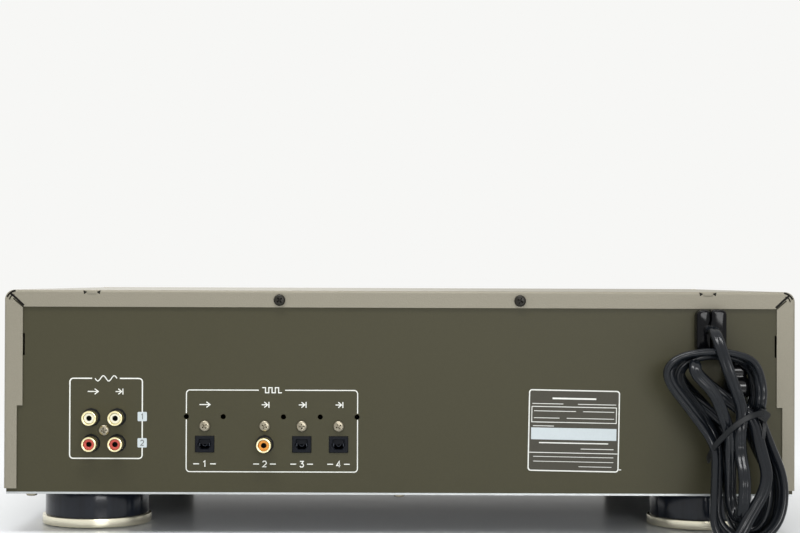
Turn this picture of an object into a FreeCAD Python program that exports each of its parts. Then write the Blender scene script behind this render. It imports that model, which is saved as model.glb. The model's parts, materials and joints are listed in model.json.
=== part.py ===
"""Full-width minidisc deck: folded steel case, aluminium front, slot mechanism, rear jacks and tied cord.

Millimetres. +X is to the right seen from the front, -Y is the front, +Y the rear, +Z up.
The origin is on the table, under the middle of the deck's box (the cord is not counted in that box).
Small pins, screws and holes that repeat have a few flat sides instead of a round wall.
"""
import FreeCAD, Part
import math
import os
from FreeCAD import Vector

# ---- driving dimensions -------------------------------------------------------------------------
CASE_WIDTH = 434.0        # over the folded cover
CASE_HEIGHT = 112.0       # underside of the pan to the top of the cover
BODY_DEPTH = 328.0        # face of the front panel to face of the rear panel
FOOT_HEIGHT = 22.0
RECORD_KNOB_REACH = 17.0  # the piece that stands furthest in front
JACK_REACH = 8.5          # the pieces that stand furthest behind
FIT = 0.3                 # between pieces that lie beside each other
RUNNING = 0.05            # radial play of a shaft or pin in its bore
SHEET = 1.0               # cover and rear panel
PAN_SHEET = 1.1

# cover
CORNER_R = 5.5
BEND_R = 1.6
COVER_RISE = 3.0          # open strip between the cover's lower edge and the pan's underside
TOP_FLANGE = 9.3
SIDE_FLANGE = 10.1
SIDE_FLANGE_LOW = 7.0     # below the step
FLANGE_STEP_Z = 70.5
MITRE_GAP = 0.8
MITRE_OVERRUN = 1.2
RELIEF_R = 3.0
DART_SIDE = 47.5          # all ..._SIDE values: centre from the side of the case
DART_WIDTH = 7.0
DART_DEPTH = 1.3
COVER_SCREW_X = 66.0
COVER_SCREW_DROP = 5.3    # below the cover's top
SIDE_SCREW_Z = 62.0
SIDE_SCREW_INSET = 48.0   # from the front and the rear of the cover

# pan and rear panel
PAN_FLANGE = 14.0
PAN_CORNER = 5.0
PANEL_FLANGE = 9.0
BOARD_INSET = 9.0         # standoffs from a board's edges
BEAD_X = 100.0
BEAD_WIDTH = 12.0
BEAD_RISE = 1.5
BEAD_LENGTH = 90.0
BEAD_INSET = 50.0
VENT_WIDTH = 4.0
VENT_LENGTH = 42.0
VENT_PITCH = 10.0
VENT_COUNT = 6
VENT_INSET = 80.0
EDGE_SLOT_WIDTH = 1.0
EDGE_SLOT_HEIGHT = 12.0
EDGE_SLOT_Z = 104.0
STANDOFF_R = 3.2
STANDOFF_HEIGHT = 8.0
PAN_SCREW_SIDE = 14.0
PAN_SCREW_INSET = 6.5

# feet
FOOT_SIDE = 43.0
FOOT_INSET = 49.0         # centre from the rear panel and from the front panel's back
FOOT_R = 29.5
FOOT_RING_R = 31.0
FOOT_RING_HEIGHT = 5.0
FOOT_PAD_R = 25.0
FOOT_PAD_STAND = 0.6      # the pad stands proud of the ring
FOOT_SIDES = 18

# rear connections
JACK_PITCH = 14.2
ANALOG_SIDE = 54.9
ANALOG_Z = 56.9
JACK_R = 4.15
JACK_BORE_R = 3.4
JACK_PLUG_HOLE_R = 1.6
JACK_SIDES = 9
JACK_COLLAR_R = 4.8
JACK_COLLAR = 0.8
DIGITAL_Z = 49.5
DIGITAL_SCREW_Z = 59.5
DIGITAL_HOLE_Z = 64.6
OPTICAL_OUT_SIDE = 110.1
COAXIAL_SIDE = 143.0
OPTICAL_IN_SIDES = (163.4, 183.6)
SPARE_HOLE_SIDE = 10.1    # spare holes beside each optical socket
SPARE_HOLE_R = 1.5
OPTICAL_WIDTH = 10.4
OPTICAL_HEIGHT = 8.9
OPTICAL_DEPTH = 13.0
OPTICAL_CAVITY = 6.2
OPTICAL_CAVITY_DEPTH = 8.0
SCREW_TAB = 8.0
JACK_BLOCK_DEPTH = 15.0
JACK_SCREW_R = 1.25
JACK_SCREW_HEAD_R = 3.0
JACK_SCREW_HEAD = 1.5
SCREW_LENGTH = 8.0
SCREW_R = 1.4
SCREW_HEAD_R = 3.2
SCREW_HEAD = 1.8
SCREW_SIDES = 6
BOLT_R = 2.0
BOLT_LENGTH = 12.0

# cord
GLAND_SIDE = 47.0
GLAND_Z = 112.5
GLAND_WIDTH = 16.5
GLAND_HEIGHT = 24.0
GLAND_REACH = 9.0
GLAND_NECK = 2.2
GLAND_TAIL = 5.0
CORD_WIDTH = 6.6
CORD_SIDES = 8
CORD_STEP = math.radians(16)           # turn between two rings of facets
HANK_SIDES = 12
TIE_Z = 57.5
TIE_WIDTH = 5.0
TIE_T = 1.2
PLUG_SIZE = (16.0, 11.0, 18.5)
PLUG_OFFSET = 13.4        # beside the gland's middle
PLUG_BEHIND = 8.0
PLUG_Z = 77.0
BLADE = (1.5, 6.3, 15.0)
BLADE_PITCH = 12.7

# front panel
FRONT_T = 6.0
FRONT_EDGE = 1.0
FRAME_T = 1.5
FRAME_FLANGE = 12.0
BOARD_Y = 18.0            # front of the front board, behind the face of the front panel
BOARD_T = 1.6
SLOT_Z = 100.0
SLOT_WIDTH = 77.0
SLOT_HEIGHT = 9.0
DISPLAY_Z = 68.0
DISPLAY_WIDTH = 140.0
DISPLAY_HEIGHT = 28.0
DISPLAY_LIP = 4.0
TUBE_T = 6.0
FLAP_T = 1.2
FLAP_LAP = 0.8            # over the slot's edges, behind the panel
FLAP_GAP = 0.4
FLAP_BARREL_R = 0.9
FLAP_PIN_R = 0.8
FLAP_PIN_LENGTH = 2.6
BUTTON_GAP = 0.25
BUTTON_PROUD = 2.6
BUTTON_FLANGE = 1.2
BUTTON_LIP = 1.2
BUTTON_EDGE = 0.6
BUTTON_STEM_R = 2.0
BUTTON_TRAVEL = 0.7
SWITCH_SIZE = 6.0
SWITCH_T = 4.6
KEY_WIDTH, KEY_HEIGHT = 20.0, 11.0
SMALL_KEY_WIDTH, SMALL_KEY_HEIGHT = 13.0, 6.0
EJECT_WIDTH, EJECT_HEIGHT = 17.0, 7.0
POWER_WIDTH, POWER_HEIGHT = 24.0, 10.0
SHAFT_R = 3.0
KNOB_STAND = 0.5          # between a knob and the panel
FLUTE_DEPTH = 0.5
CONTROL_SIZE = 17.0
PHONES_SIDE = 27.0
PHONES_Z = 46.0
PHONES_KNOB_PITCH = 30.0
PHONES_BORE_R = 3.2
PHONES_NOSE_R = 4.8
PHONES_NUT_R = 7.0
PHONES_NUT = 1.6
PHONES_DEPTH = 30.0
PHONES_END = 3.0          # closed end behind the bore
PHONES_SIZE = 14.0
FRONT_END_WIDTH = 67.0    # the left end of the frame and its board are pieces of their own
BOARD_POST_SIDE = 13.0
BOARD_POST_INSET = 11.0   # from the pan's floor and the cover
POWER_SIDE = 29.0
KNOB_SIDE = 37.0
KEY_GAP = 16.0            # between the display and the first column of keys
KEY_PITCH = 26.0
KEY_ROWS = (92.0, 74.0, 56.0)
EJECT_GAP = 11.0          # between the slot and the eject button
SMALL_KEY_Z = 40.0
SMALL_KEY_XS = (-62.0, -42.0)
FLUTE_PITCH = 4.2

# disc mechanism: heights above the table, plan sizes from the disc's centre
CARTRIDGE_WIDTH = 72.0
CARTRIDGE_DEPTH = 68.0
CARTRIDGE_HEIGHT = 5.0
HOLDER_PLAY = 0.4         # all round the cartridge
HOLDER_SHEET = 0.8
HOLDER_LIP = 8.0
HOLDER_DROP = 4.0
HOLDER_BEHIND_PANEL = 20.0
PLATE_TOP = 90.0
PLATE_T = 2.0
PLATE_LEFT, PLATE_RIGHT = -60.0, 66.0
PLATE_REAR = 58.0
WALL_T = 1.0
WALL_GAP = 0.6
PIN_R = 1.0
PIN_PLAY = 0.1
PIN_Y = (-22.0, 20.0)
SLIDER_TRAVEL = 14.0
SLIDER_Z = 92.5
SLIDER_TOP = 103.5
SLIDER_RIDE = 0.2
GEAR_MODULE = 0.6
GEAR_TEETH = 18
GEAR_BACKLASH = 0.16
PRESSURE_ANGLE = math.radians(20)
GEAR_T = 2.0
TURNTABLE_R = 9.0
SPINDLE_R = 1.5
SPINDLE_MOTOR_R = 9.5
SPINDLE_MOTOR_T = 10.0
SLED_TRAVEL = 16.0
SLED_START = 11.0         # inner end of the sled from the disc's centre
SLED_LENGTH = 23.0
SLED_HALF = 15.0
SLED_Z = 79.0
LENS_X = 15.0             # innermost track
LENS_R = 1.8
ROD_Y = 12.0
ROD_R = 1.0
ROD_Z = 85.0
HEAD_PIVOT_X = 44.0
HEAD_PIVOT_Z = 110.0
HEAD_PIVOT_R = 0.8
MOTOR_R = 4.5
MOTOR_T = 11.0
DAMPER_R = 5.0
DAMPER_T = 3.0
BRACKET_T = 1.2

# electronics
MAIN_BOARD_SIDE = 13.0    # edge from the side of the case
MAIN_BOARD_GAP = 4.0      # from the rear panel
MAIN_BOARD_WIDTH = 182.0
MAIN_BOARD_DEPTH = 164.0
POWER_BOARD_GAP = 16.0    # from the transformer's core
POWER_BOARD_INSET = 14.0
POWER_BOARD_WIDTH = 94.0
POWER_BOARD_DEPTH = 136.0
TRANSFORMER_SIDE = 54.0
TRANSFORMER_INSET = 118.0
TRANSFORMER = (62.0, 58.0, 52.0)      # laminated core: along X, Y and Z
TRANSFORMER_FOOT = 14.0
STRAP_T = 1.5

# ---- places worked out from them ----------------------------------------------------------------
TOTAL_DEPTH = BODY_DEPTH + RECORD_KNOB_REACH + JACK_REACH
FRONT_Y = -TOTAL_DEPTH / 2 + RECORD_KNOB_REACH
REAR_Y = TOTAL_DEPTH / 2 - JACK_REACH
HALF_WIDTH = CASE_WIDTH / 2
DART_X = HALF_WIDTH - DART_SIDE
PAN_SCREW_X = HALF_WIDTH - PAN_SCREW_SIDE
FOOT_X = HALF_WIDTH - FOOT_SIDE
ANALOG_X = HALF_WIDTH - ANALOG_SIDE
OPTICAL_OUT_X = HALF_WIDTH - OPTICAL_OUT_SIDE
COAXIAL_X = HALF_WIDTH - COAXIAL_SIDE
OPTICAL_IN_X = tuple(HALF_WIDTH - side for side in OPTICAL_IN_SIDES)
GLAND_X = GLAND_SIDE - HALF_WIDTH
PHONES_X = PHONES_SIDE - HALF_WIDTH
KNOB_X = HALF_WIDTH - KNOB_SIDE
PAN_Z = FOOT_HEIGHT
FLOOR_Z = PAN_Z + PAN_SHEET
TOP_Z = FOOT_HEIGHT + CASE_HEIGHT
CEILING_Z = TOP_Z - SHEET
INNER_HALF = HALF_WIDTH - SHEET - FIT
PANEL_BACK = FRONT_Y + FRONT_T
FRAME_BACK = PANEL_BACK + FRAME_T
COVER_FRONT = PANEL_BACK + FIT
BOARD_FRONT = FRONT_Y + BOARD_Y
DISC_Y = FRONT_Y + HOLDER_BEHIND_PANEL + CARTRIDGE_DEPTH / 2
PLATE_Z = PLATE_TOP - PLATE_T
FLAP_TOP = SLOT_Z + SLOT_HEIGHT / 2 + FLAP_LAP
FLAP_PIVOT = Vector(0, PANEL_BACK + FLAP_GAP + FLAP_T / 2, FLAP_TOP + FLAP_BARREL_R)
BOARD_FLOOR = FLOOR_Z + STANDOFF_HEIGHT
BOARD_TOP = BOARD_FLOOR + BOARD_T
PITCH_R = GEAR_MODULE * GEAR_TEETH / 2
SLED_RACK_Y = -SLED_HALF - 1.5
SLED_GEAR_AT = Vector(SLED_START + SLED_LENGTH - 3.0, SLED_RACK_Y - PITCH_R, SLED_Z)
HOLDER_INNER = CARTRIDGE_WIDTH / 2 + HOLDER_PLAY
HOLDER_OUTER = HOLDER_INNER + HOLDER_SHEET
GUIDE_X = HOLDER_OUTER + WALL_GAP
SLIDER_X = GUIDE_X + WALL_T + WALL_GAP
RACK_X = -(SLIDER_X + WALL_T + 4.5)
LOADING_GEAR_AT = Vector(RACK_X - PITCH_R, 6.0, SLIDER_Z)
MAIN_BOARD_RIGHT = HALF_WIDTH - MAIN_BOARD_SIDE
MAIN_BOARD_REAR = REAR_Y - MAIN_BOARD_GAP
MAIN_BOARD = (MAIN_BOARD_RIGHT - MAIN_BOARD_WIDTH, MAIN_BOARD_RIGHT,
              MAIN_BOARD_REAR - MAIN_BOARD_DEPTH, MAIN_BOARD_REAR)
TRANSFORMER_AT = (TRANSFORMER_SIDE - HALF_WIDTH, REAR_Y - TRANSFORMER_INSET)
POWER_BOARD_LEFT = TRANSFORMER_AT[0] + TRANSFORMER[0] / 2 + POWER_BOARD_GAP
POWER_BOARD_REAR = REAR_Y - POWER_BOARD_INSET
POWER_BOARD = (POWER_BOARD_LEFT, POWER_BOARD_LEFT + POWER_BOARD_WIDTH,
               POWER_BOARD_REAR - POWER_BOARD_DEPTH, POWER_BOARD_REAR)
PLUG_AT = Vector(GLAND_X - PLUG_OFFSET, REAR_Y + PLUG_BEHIND, PLUG_Z)

KEY_X = (DISPLAY_WIDTH + KEY_WIDTH) / 2 + KEY_GAP
# name: (x, z, width, height)
BUTTONS = {
    "power_button": (POWER_SIDE - HALF_WIDTH, SLOT_Z, POWER_WIDTH, POWER_HEIGHT),
    "eject_button": ((SLOT_WIDTH + EJECT_WIDTH) / 2 + EJECT_GAP, SLOT_Z, EJECT_WIDTH, EJECT_HEIGHT),
    "play_button": (KEY_X, KEY_ROWS[0], KEY_WIDTH, KEY_HEIGHT),
    "pause_button": (KEY_X + KEY_PITCH, KEY_ROWS[0], KEY_WIDTH, KEY_HEIGHT),
    "stop_button": (KEY_X, KEY_ROWS[1], KEY_WIDTH, KEY_HEIGHT),
    "record_button": (KEY_X + KEY_PITCH, KEY_ROWS[1], KEY_WIDTH, KEY_HEIGHT),
    "rewind_button": (KEY_X, KEY_ROWS[2], KEY_WIDTH, KEY_HEIGHT),
    "forward_button": (KEY_X + KEY_PITCH, KEY_ROWS[2], KEY_WIDTH, KEY_HEIGHT),
    "time_button": (SMALL_KEY_XS[0], SMALL_KEY_Z, SMALL_KEY_WIDTH, SMALL_KEY_HEIGHT),
    "edit_button": (SMALL_KEY_XS[1], SMALL_KEY_Z, SMALL_KEY_WIDTH, SMALL_KEY_HEIGHT),
}
# name: (x, z, radius, reach in front of the panel)
KNOBS = {
    "record_knob": (KNOB_X, 88.0, 20.0, RECORD_KNOB_REACH),
    "jog_dial": (KNOB_X, 46.0, 15.0, 13.0),
    "input_knob": (58.0, SMALL_KEY_Z, 8.0, 12.0),
    "phones_knob": (PHONES_X + PHONES_KNOB_PITCH, PHONES_Z, 8.0, 12.0),
}

# lead from the gland to the hank
CORD_ROUTE = [
    Vector(GLAND_X + 0.5, REAR_Y + GLAND_REACH, 113.5),
    Vector(GLAND_X + 0.5, REAR_Y + 18.0, 113.5),
    Vector(GLAND_X - 0.8, REAR_Y + 25.6, 107.0),
    Vector(GLAND_X - 3.8, REAR_Y + 29.6, 95.6),
    Vector(GLAND_X - 8.6, REAR_Y + 30.0, 82.6),
    Vector(GLAND_X - 13.4, REAR_Y + 27.0, 70.0),
]
# hank from top to bottom: (height, middle beside the gland's, half width, distance behind panel, half depth)
HANK = [
    (103.0, 2.0, 9.0, 13.0, 6.0),
    (97.0, 2.5, 21.0, 14.0, 9.0),
    (83.5, 2.8, 26.5, 15.0, 11.0),
    (69.5, -2.3, 25.5, 16.0, 12.0),
    (57.0, -10.0, 18.5, 17.0, 12.5),
    (45.0, -15.0, 17.5, 18.0, 13.0),
    (22.0, -19.0, 20.5, 21.0, 14.5),
    (0.0, -16.0, 18.5, 31.0, 21.0),
]


# ---- helpers ------------------------------------------------------------------------------------
def box(x0, x1, y0, y1, z0, z1):
    return Part.makeBox(x1 - x0, y1 - y0, z1 - z0, Vector(x0, y0, z0))


def sided(x0, x1, side):
    """x range on one side of the middle plane, low value first."""
    return sorted((x0 * side, x1 * side))


def outline(points, way):
    """Prism on a closed polygon."""
    return Part.Face(Part.makePolygon(points + points[:1])).extrude(way)


def ring_points(radius, centre, axis, sides, offset=0.5):
    """Corners of a regular polygon about an axis along X, Y or Z."""
    u = Vector(0, 1, 0) if abs(axis.x) > 0.5 else Vector(1, 0, 0)
    v = axis.normalize().cross(u)
    turn = 2 * math.pi / sides
    turns = [(i + offset) * turn for i in range(sides)]
    return [centre + u * (radius * math.cos(t)) + v * (radius * math.sin(t)) for t in turns]


def rod(radius, start, end, sides=0):
    """Round bar from start to end; with sides, a prism whose corners lie on the radius."""
    way = end - start
    if not sides:
        return Part.makeCylinder(radius, way.Length, start, way)
    return outline(ring_points(radius, start, Vector(way), sides), way)


def rod_x(radius, x0, x1, y, z, sides=0):
    return rod(radius, Vector(x0, y, z), Vector(x1, y, z), sides)


def rod_y(radius, x, y0, y1, z, sides=0):
    return rod(radius, Vector(x, y0, z), Vector(x, y1, z), sides)


def rod_z(radius, x, y, z0, z1, sides=0):
    return rod(radius, Vector(x, y, z0), Vector(x, y, z1), sides)


def around(radius, sides):
    """Corner radius of a hole with flat sides that clears a round bar of the radius."""
    return radius / math.cos(math.pi / sides)


def hole_y(radius, x, y0, y1, z, sides=6):
    """Cutter for a small hole that a bar of the radius passes through."""
    return rod_y(around(radius, sides), x, y0, y1, z, sides)


def hole_z(radius, x, y, z0, z1, sides=6):
    return rod_z(around(radius, sides), x, y, z0, z1, sides)


def stack(profile, base, axis, sides):
    """Turned piece with flat sides: profile holds (radius, distance along axis) rings of a closed outline."""
    rings = []
    for radius, along in profile:
        centre = base + axis * along
        rings.append(ring_points(radius, centre, Vector(axis), sides) if radius else [centre] * sides)
    faces = []
    for a, b in zip(rings, rings[1:] + rings[:1]):
        for i in range(sides):
            j = (i + 1) % sides
            corners = [p for k, p in enumerate([a[i], a[j], b[j], b[i]])
                       if k == 0 or not p.isEqual([a[i], a[j], b[j], b[i]][k - 1], 1e-9)]
            if len(corners) > 2 and corners[0].isEqual(corners[-1], 1e-9):
                corners.pop()
            if len(corners) > 2:
                faces.append(Part.Face(Part.makePolygon(corners + corners[:1])))
    solid = Part.Solid(Part.Shell(faces))
    if solid.Volume < 0:
        solid.reverse()
    return solid.removeSplitter()


def slab_y(x, z, width, height, y0, y1, corner=0.0):
    """Plate square to Y with cut corners, centred on x and z."""
    w, h = width / 2, height / 2
    if not corner:
        return box(x - w, x + w, y0, y1, z - h, z + h)
    points = []
    for sx, sz in ((1, 1), (-1, 1), (-1, -1), (1, -1)):
        pair = [Vector(x + sx * w, y0, z + sz * (h - corner)), Vector(x + sx * (w - corner), y0, z + sz * h)]
        points += pair if sx * sz > 0 else pair[::-1]
    return outline(points, Vector(0, y1 - y0, 0))


def slab_z(x0, x1, y0, y1, z0, z1, corner):
    """Plate square to Z with cut corners."""
    slab = box(x0, x1, y0, y1, z0, z1)
    return slab.makeChamfer(corner, [e for e in slab.Edges if abs(e.Vertexes[0].Z - e.Vertexes[-1].Z) > 1e-6])


def edges_at_y(shape, y):
    return [e for e in shape.Edges if all(abs(v.Y - y) < 1e-4 for v in e.Vertexes)]


def slanted_slot(start, end, half, x0, x1):
    """Slot cutter through a wall square to X, from start to end given as (y, z), open by half all round."""
    a, b = Vector(x0, *start), Vector(x0, *end)
    along = (b - a).normalize() * half
    across = along.cross(Vector(1, 0, 0))
    return outline([a - along + across, b + along + across, b + along - across, a - along - across],
                   Vector(x1 - x0, 0, 0))


def mirrored(shape):
    return shape.mirror(Vector(0, 0, 0), Vector(1, 0, 0))


def both_sides(shape):
    return [shape, mirrored(shape)]


def joined(solid, others, cuts=()):
    shape = solid.fuse(list(others)) if others else solid
    shape = shape.cut(list(cuts)) if cuts else shape
    return shape.removeSplitter()


def save(node, *solids):
    shape = solids[0] if len(solids) == 1 else Part.makeCompound(list(solids))
    shape.exportStep(os.path.join("parts", node + ".step"))


# ---- case ---------------------------------------------------------------------------------------
def cover_section(inset, low):
    """Face square to Y: the cover's outline, drawn inset from the outside."""
    w, top, r = HALF_WIDTH - inset, TOP_Z - inset, CORNER_R - inset
    slant = r * math.sqrt(0.5)

    def at(x, z):
        return Vector(x, COVER_FRONT, z)

    edges = [
        Part.LineSegment(at(-w, low), at(-w, top - r)),
        Part.Arc(at(-w, top - r), at(-w + r - slant, top - r + slant), at(-w + r, top)),
        Part.LineSegment(at(-w + r, top), at(w - r, top)),
        Part.Arc(at(w - r, top), at(w - r + slant, top - r + slant), at(w, top - r)),
        Part.LineSegment(at(w, top - r), at(w, low)),
        Part.LineSegment(at(w, low), at(-w, low)),
    ]
    return Part.Face(Part.Wire([e.toShape() for e in edges]))


def mitre_cut():
    """45 degree gap between the top and side flanges, and the curved relief at its end."""
    inner = Vector(HALF_WIDTH - SIDE_FLANGE, REAR_Y, TOP_Z - TOP_FLANGE)
    corner = Vector(HALF_WIDTH - CORNER_R, REAR_Y, TOP_Z - CORNER_R)
    way = corner - inner + Vector(MITRE_OVERRUN, 0, MITRE_OVERRUN)
    side = Vector(-way.z, 0, way.x).normalize() * (MITRE_GAP / 2)
    start = inner - way * 0.1
    deep = Vector(0, 3 * SHEET, 0)
    slit = outline([start + side, start + way + side, start + way - side, start - side], deep)
    ring = rod(RELIEF_R, corner, corner + deep).cut(rod(RELIEF_R - MITRE_GAP, corner, corner + deep))
    quarter = box(corner.x, corner.x + CORNER_R, REAR_Y, REAR_Y + deep.y, corner.z, corner.z + CORNER_R)
    return slit.fuse(ring.common(quarter))


def cover_screw_places():
    return [(side * COVER_SCREW_X, TOP_Z - COVER_SCREW_DROP) for side in (-1, 1)]


def side_screw_ys():
    return (COVER_FRONT + SIDE_SCREW_INSET, REAR_Y - SIDE_SCREW_INSET)


def make_cover():
    rear = REAR_Y + SHEET
    low = PAN_Z + COVER_RISE
    outside = cover_section(0, low).extrude(Vector(0, rear - COVER_FRONT, 0))
    folded = [e for e in edges_at_y(outside, rear) if e.BoundBox.ZMax > low + 1]
    shell = outside.makeFillet(BEND_R, folded)
    shell = shell.cut(cover_section(SHEET, low - 1).extrude(Vector(0, REAR_Y - COVER_FRONT, 0)))
    wide, narrow = HALF_WIDTH - SIDE_FLANGE_LOW, HALF_WIDTH - SIDE_FLANGE
    dart = outline([
        Vector(DART_X - DART_WIDTH / 2, rear + 0.1, TOP_Z - DART_DEPTH),
        Vector(DART_X - DART_WIDTH / 2, rear + 0.1, TOP_Z + 0.1),
        Vector(DART_X - DART_WIDTH / 2, rear - DART_DEPTH, TOP_Z + 0.1),
    ], Vector(DART_WIDTH, 0, 0))
    cuts = [
        box(-narrow, narrow, REAR_Y - 1, rear + 1, low - 1, TOP_Z - TOP_FLANGE),
        box(-wide, wide, REAR_Y - 1, rear + 1, low - 1, FLANGE_STEP_Z),
    ]
    cuts += both_sides(mitre_cut()) + both_sides(dart)
    cuts += [hole_y(SCREW_R + RUNNING, x, REAR_Y - 1, rear + 1, z) for x, z in cover_screw_places()]
    cuts += [rod_x(around(SCREW_R + RUNNING, 6), -HALF_WIDTH - 1, HALF_WIDTH + 1, y, SIDE_SCREW_Z, 6)
             for y in side_screw_ys()]
    return shell.cut(cuts)


def screw(base, axis, length=SCREW_LENGTH, shank=SCREW_R, head=SCREW_HEAD_R, height=SCREW_HEAD):
    """Pan-head screw: base is the seat under the head, axis points out of the head."""
    profile = [(0, -length), (shank, -length), (shank, 0), (head, 0), (head * 0.8, height), (0, height)]
    return stack(profile, base, axis, SCREW_SIDES)


def make_cover_screws():
    screws = [screw(Vector(x, REAR_Y + SHEET, z), Vector(0, 1, 0)) for x, z in cover_screw_places()]
    for x in (-HALF_WIDTH, HALF_WIDTH):
        screws += [screw(Vector(x, y, SIDE_SCREW_Z), Vector(x, 0, 0).normalize()) for y in side_screw_ys()]
    return screws


def foot_places():
    return [(x, y) for x in (-FOOT_X, FOOT_X) for y in (PANEL_BACK + FOOT_INSET, REAR_Y - FOOT_INSET)]


def board_corners(board):
    x0, x1, y0, y1 = board
    ys = (y0 + BOARD_INSET, y1 - BOARD_INSET)
    return [(x, y) for x in (x0 + BOARD_INSET, x1 - BOARD_INSET) for y in ys]


def pan_screw_places():
    return [(x, REAR_Y - PAN_SCREW_INSET) for x in (-PAN_SCREW_X, 0.0, PAN_SCREW_X)]


def make_pan():
    """Pressed pan: floor, two side flanges, stiffening beads, vents under the supply, board standoffs."""
    front = FRAME_BACK + FIT
    pan = box(-INNER_HALF, INNER_HALF, front, REAR_Y, PAN_Z, FLOOR_Z)
    flange = box(INNER_HALF - PAN_SHEET, INNER_HALF, front + PAN_CORNER, REAR_Y - SHEET - PAN_CORNER,
                 PAN_Z, PAN_Z + PAN_FLANGE)
    additions, cuts = both_sides(flange), []
    y0 = front + BEAD_INSET
    for x in (-BEAD_X, 0.0, BEAD_X):
        x0, x1, y1 = x - BEAD_WIDTH / 2, x + BEAD_WIDTH / 2, y0 + BEAD_LENGTH
        additions.append(box(x0, x1, y0, y1, PAN_Z, FLOOR_Z + BEAD_RISE))
        cuts.append(box(x0 + PAN_SHEET, x1 - PAN_SHEET, y0 + PAN_SHEET, y1 - PAN_SHEET,
                        PAN_Z - 1, PAN_Z + BEAD_RISE))
    for x, y in board_corners(MAIN_BOARD) + board_corners(POWER_BOARD):
        additions.append(rod_z(STANDOFF_R, x, y, PAN_Z, BOARD_FLOOR, 6))
    for i in range(VENT_COUNT):
        x = -VENT_PITCH * (i + 3)
        cuts.append(box(x - VENT_WIDTH / 2, x + VENT_WIDTH / 2, REAR_Y - VENT_INSET,
                        REAR_Y - VENT_INSET + VENT_LENGTH, PAN_Z - 1, FLOOR_Z + 1))
    cuts += [hole_z(BOLT_R + RUNNING, x, y, PAN_Z - 1, FLOOR_Z + 1) for x, y in foot_places()]
    cuts += [hole_z(SCREW_R + RUNNING, x, y, PAN_Z - 1, FLOOR_Z + 1) for x, y in pan_screw_places()]
    return joined(pan, additions, cuts)


def make_chassis_screws():
    """Screws from below into the rear panel's flange, and the bolts that end in the feet."""
    down = Vector(0, 0, -1)
    screws = [screw(Vector(x, y, PAN_Z), down, 5.0) for x, y in pan_screw_places()]
    bolt = [(0, -BOLT_LENGTH / 2), (BOLT_R, -BOLT_LENGTH / 2), (BOLT_R, 0), (BOLT_R * 2, 0),
            (BOLT_R * 2, BOLT_R), (0, BOLT_R)]
    return screws + [stack(bolt, Vector(x, y, FLOOR_Z), Vector(0, 0, 1), 6) for x, y in foot_places()]


def make_feet():
    """Each foot: a moulded barrel, a turned metal ring round its base and a pad recessed in the ring."""
    barrels, rings, pads = [], [], []
    low, high = FOOT_PAD_STAND, FOOT_PAD_STAND + FOOT_RING_HEIGHT
    up = Vector(0, 0, 1)
    for x, y in foot_places():
        base = Vector(x, y, 0)
        barrel = rod_z(FOOT_R, x, y, high, PAN_Z, FOOT_SIDES)
        barrels.append(barrel.cut(hole_z(BOLT_R + RUNNING, x, y, PAN_Z - BOLT_LENGTH, PAN_Z + 1)))
        inner = around(FOOT_PAD_R, FOOT_SIDES)
        rings.append(stack([(inner, high), (inner, low), (FOOT_RING_R, low), (FOOT_RING_R, high)],
                           base, up, FOOT_SIDES))
        pads.append(rod_z(FOOT_PAD_R - RUNNING, x, y, 0, high, FOOT_SIDES // 2))
    return barrels, rings, pads


# ---- rear panel and connections -----------------------------------------------------------------
def analog_places():
    """(x, z) of the four sockets: out white, in white, out red, in red."""
    h = JACK_PITCH / 2
    return [(ANALOG_X + dx, ANALOG_Z + dz) for dz in (h, -h) for dx in (h, -h)]


def optical_places():
    return (OPTICAL_OUT_X,) + OPTICAL_IN_X


def spare_places():
    """Spare fixing holes: one on each side of each optical socket, shared where two sockets are close."""
    found = []
    for x in optical_places():
        for spot in (x + SPARE_HOLE_SIDE, x - SPARE_HOLE_SIDE):
            if all(abs(spot - other) > 2 * SPARE_HOLE_R for other in found):
                found.append(spot)
    return found


def jack_screw_places():
    return [(ANALOG_X, ANALOG_Z)] + [(x, DIGITAL_SCREW_Z) for x in (COAXIAL_X,) + optical_places()]


def corner_nick(corner, depth):
    """Cutter that clears an upper right corner for the cover's rounded corner."""
    offsets = [Vector(1, 0, 1), Vector(1, 0, -CORNER_R), Vector(-CORNER_R, 0, 1)]
    return outline([corner + offset for offset in offsets], Vector(0, depth, 0))


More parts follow.
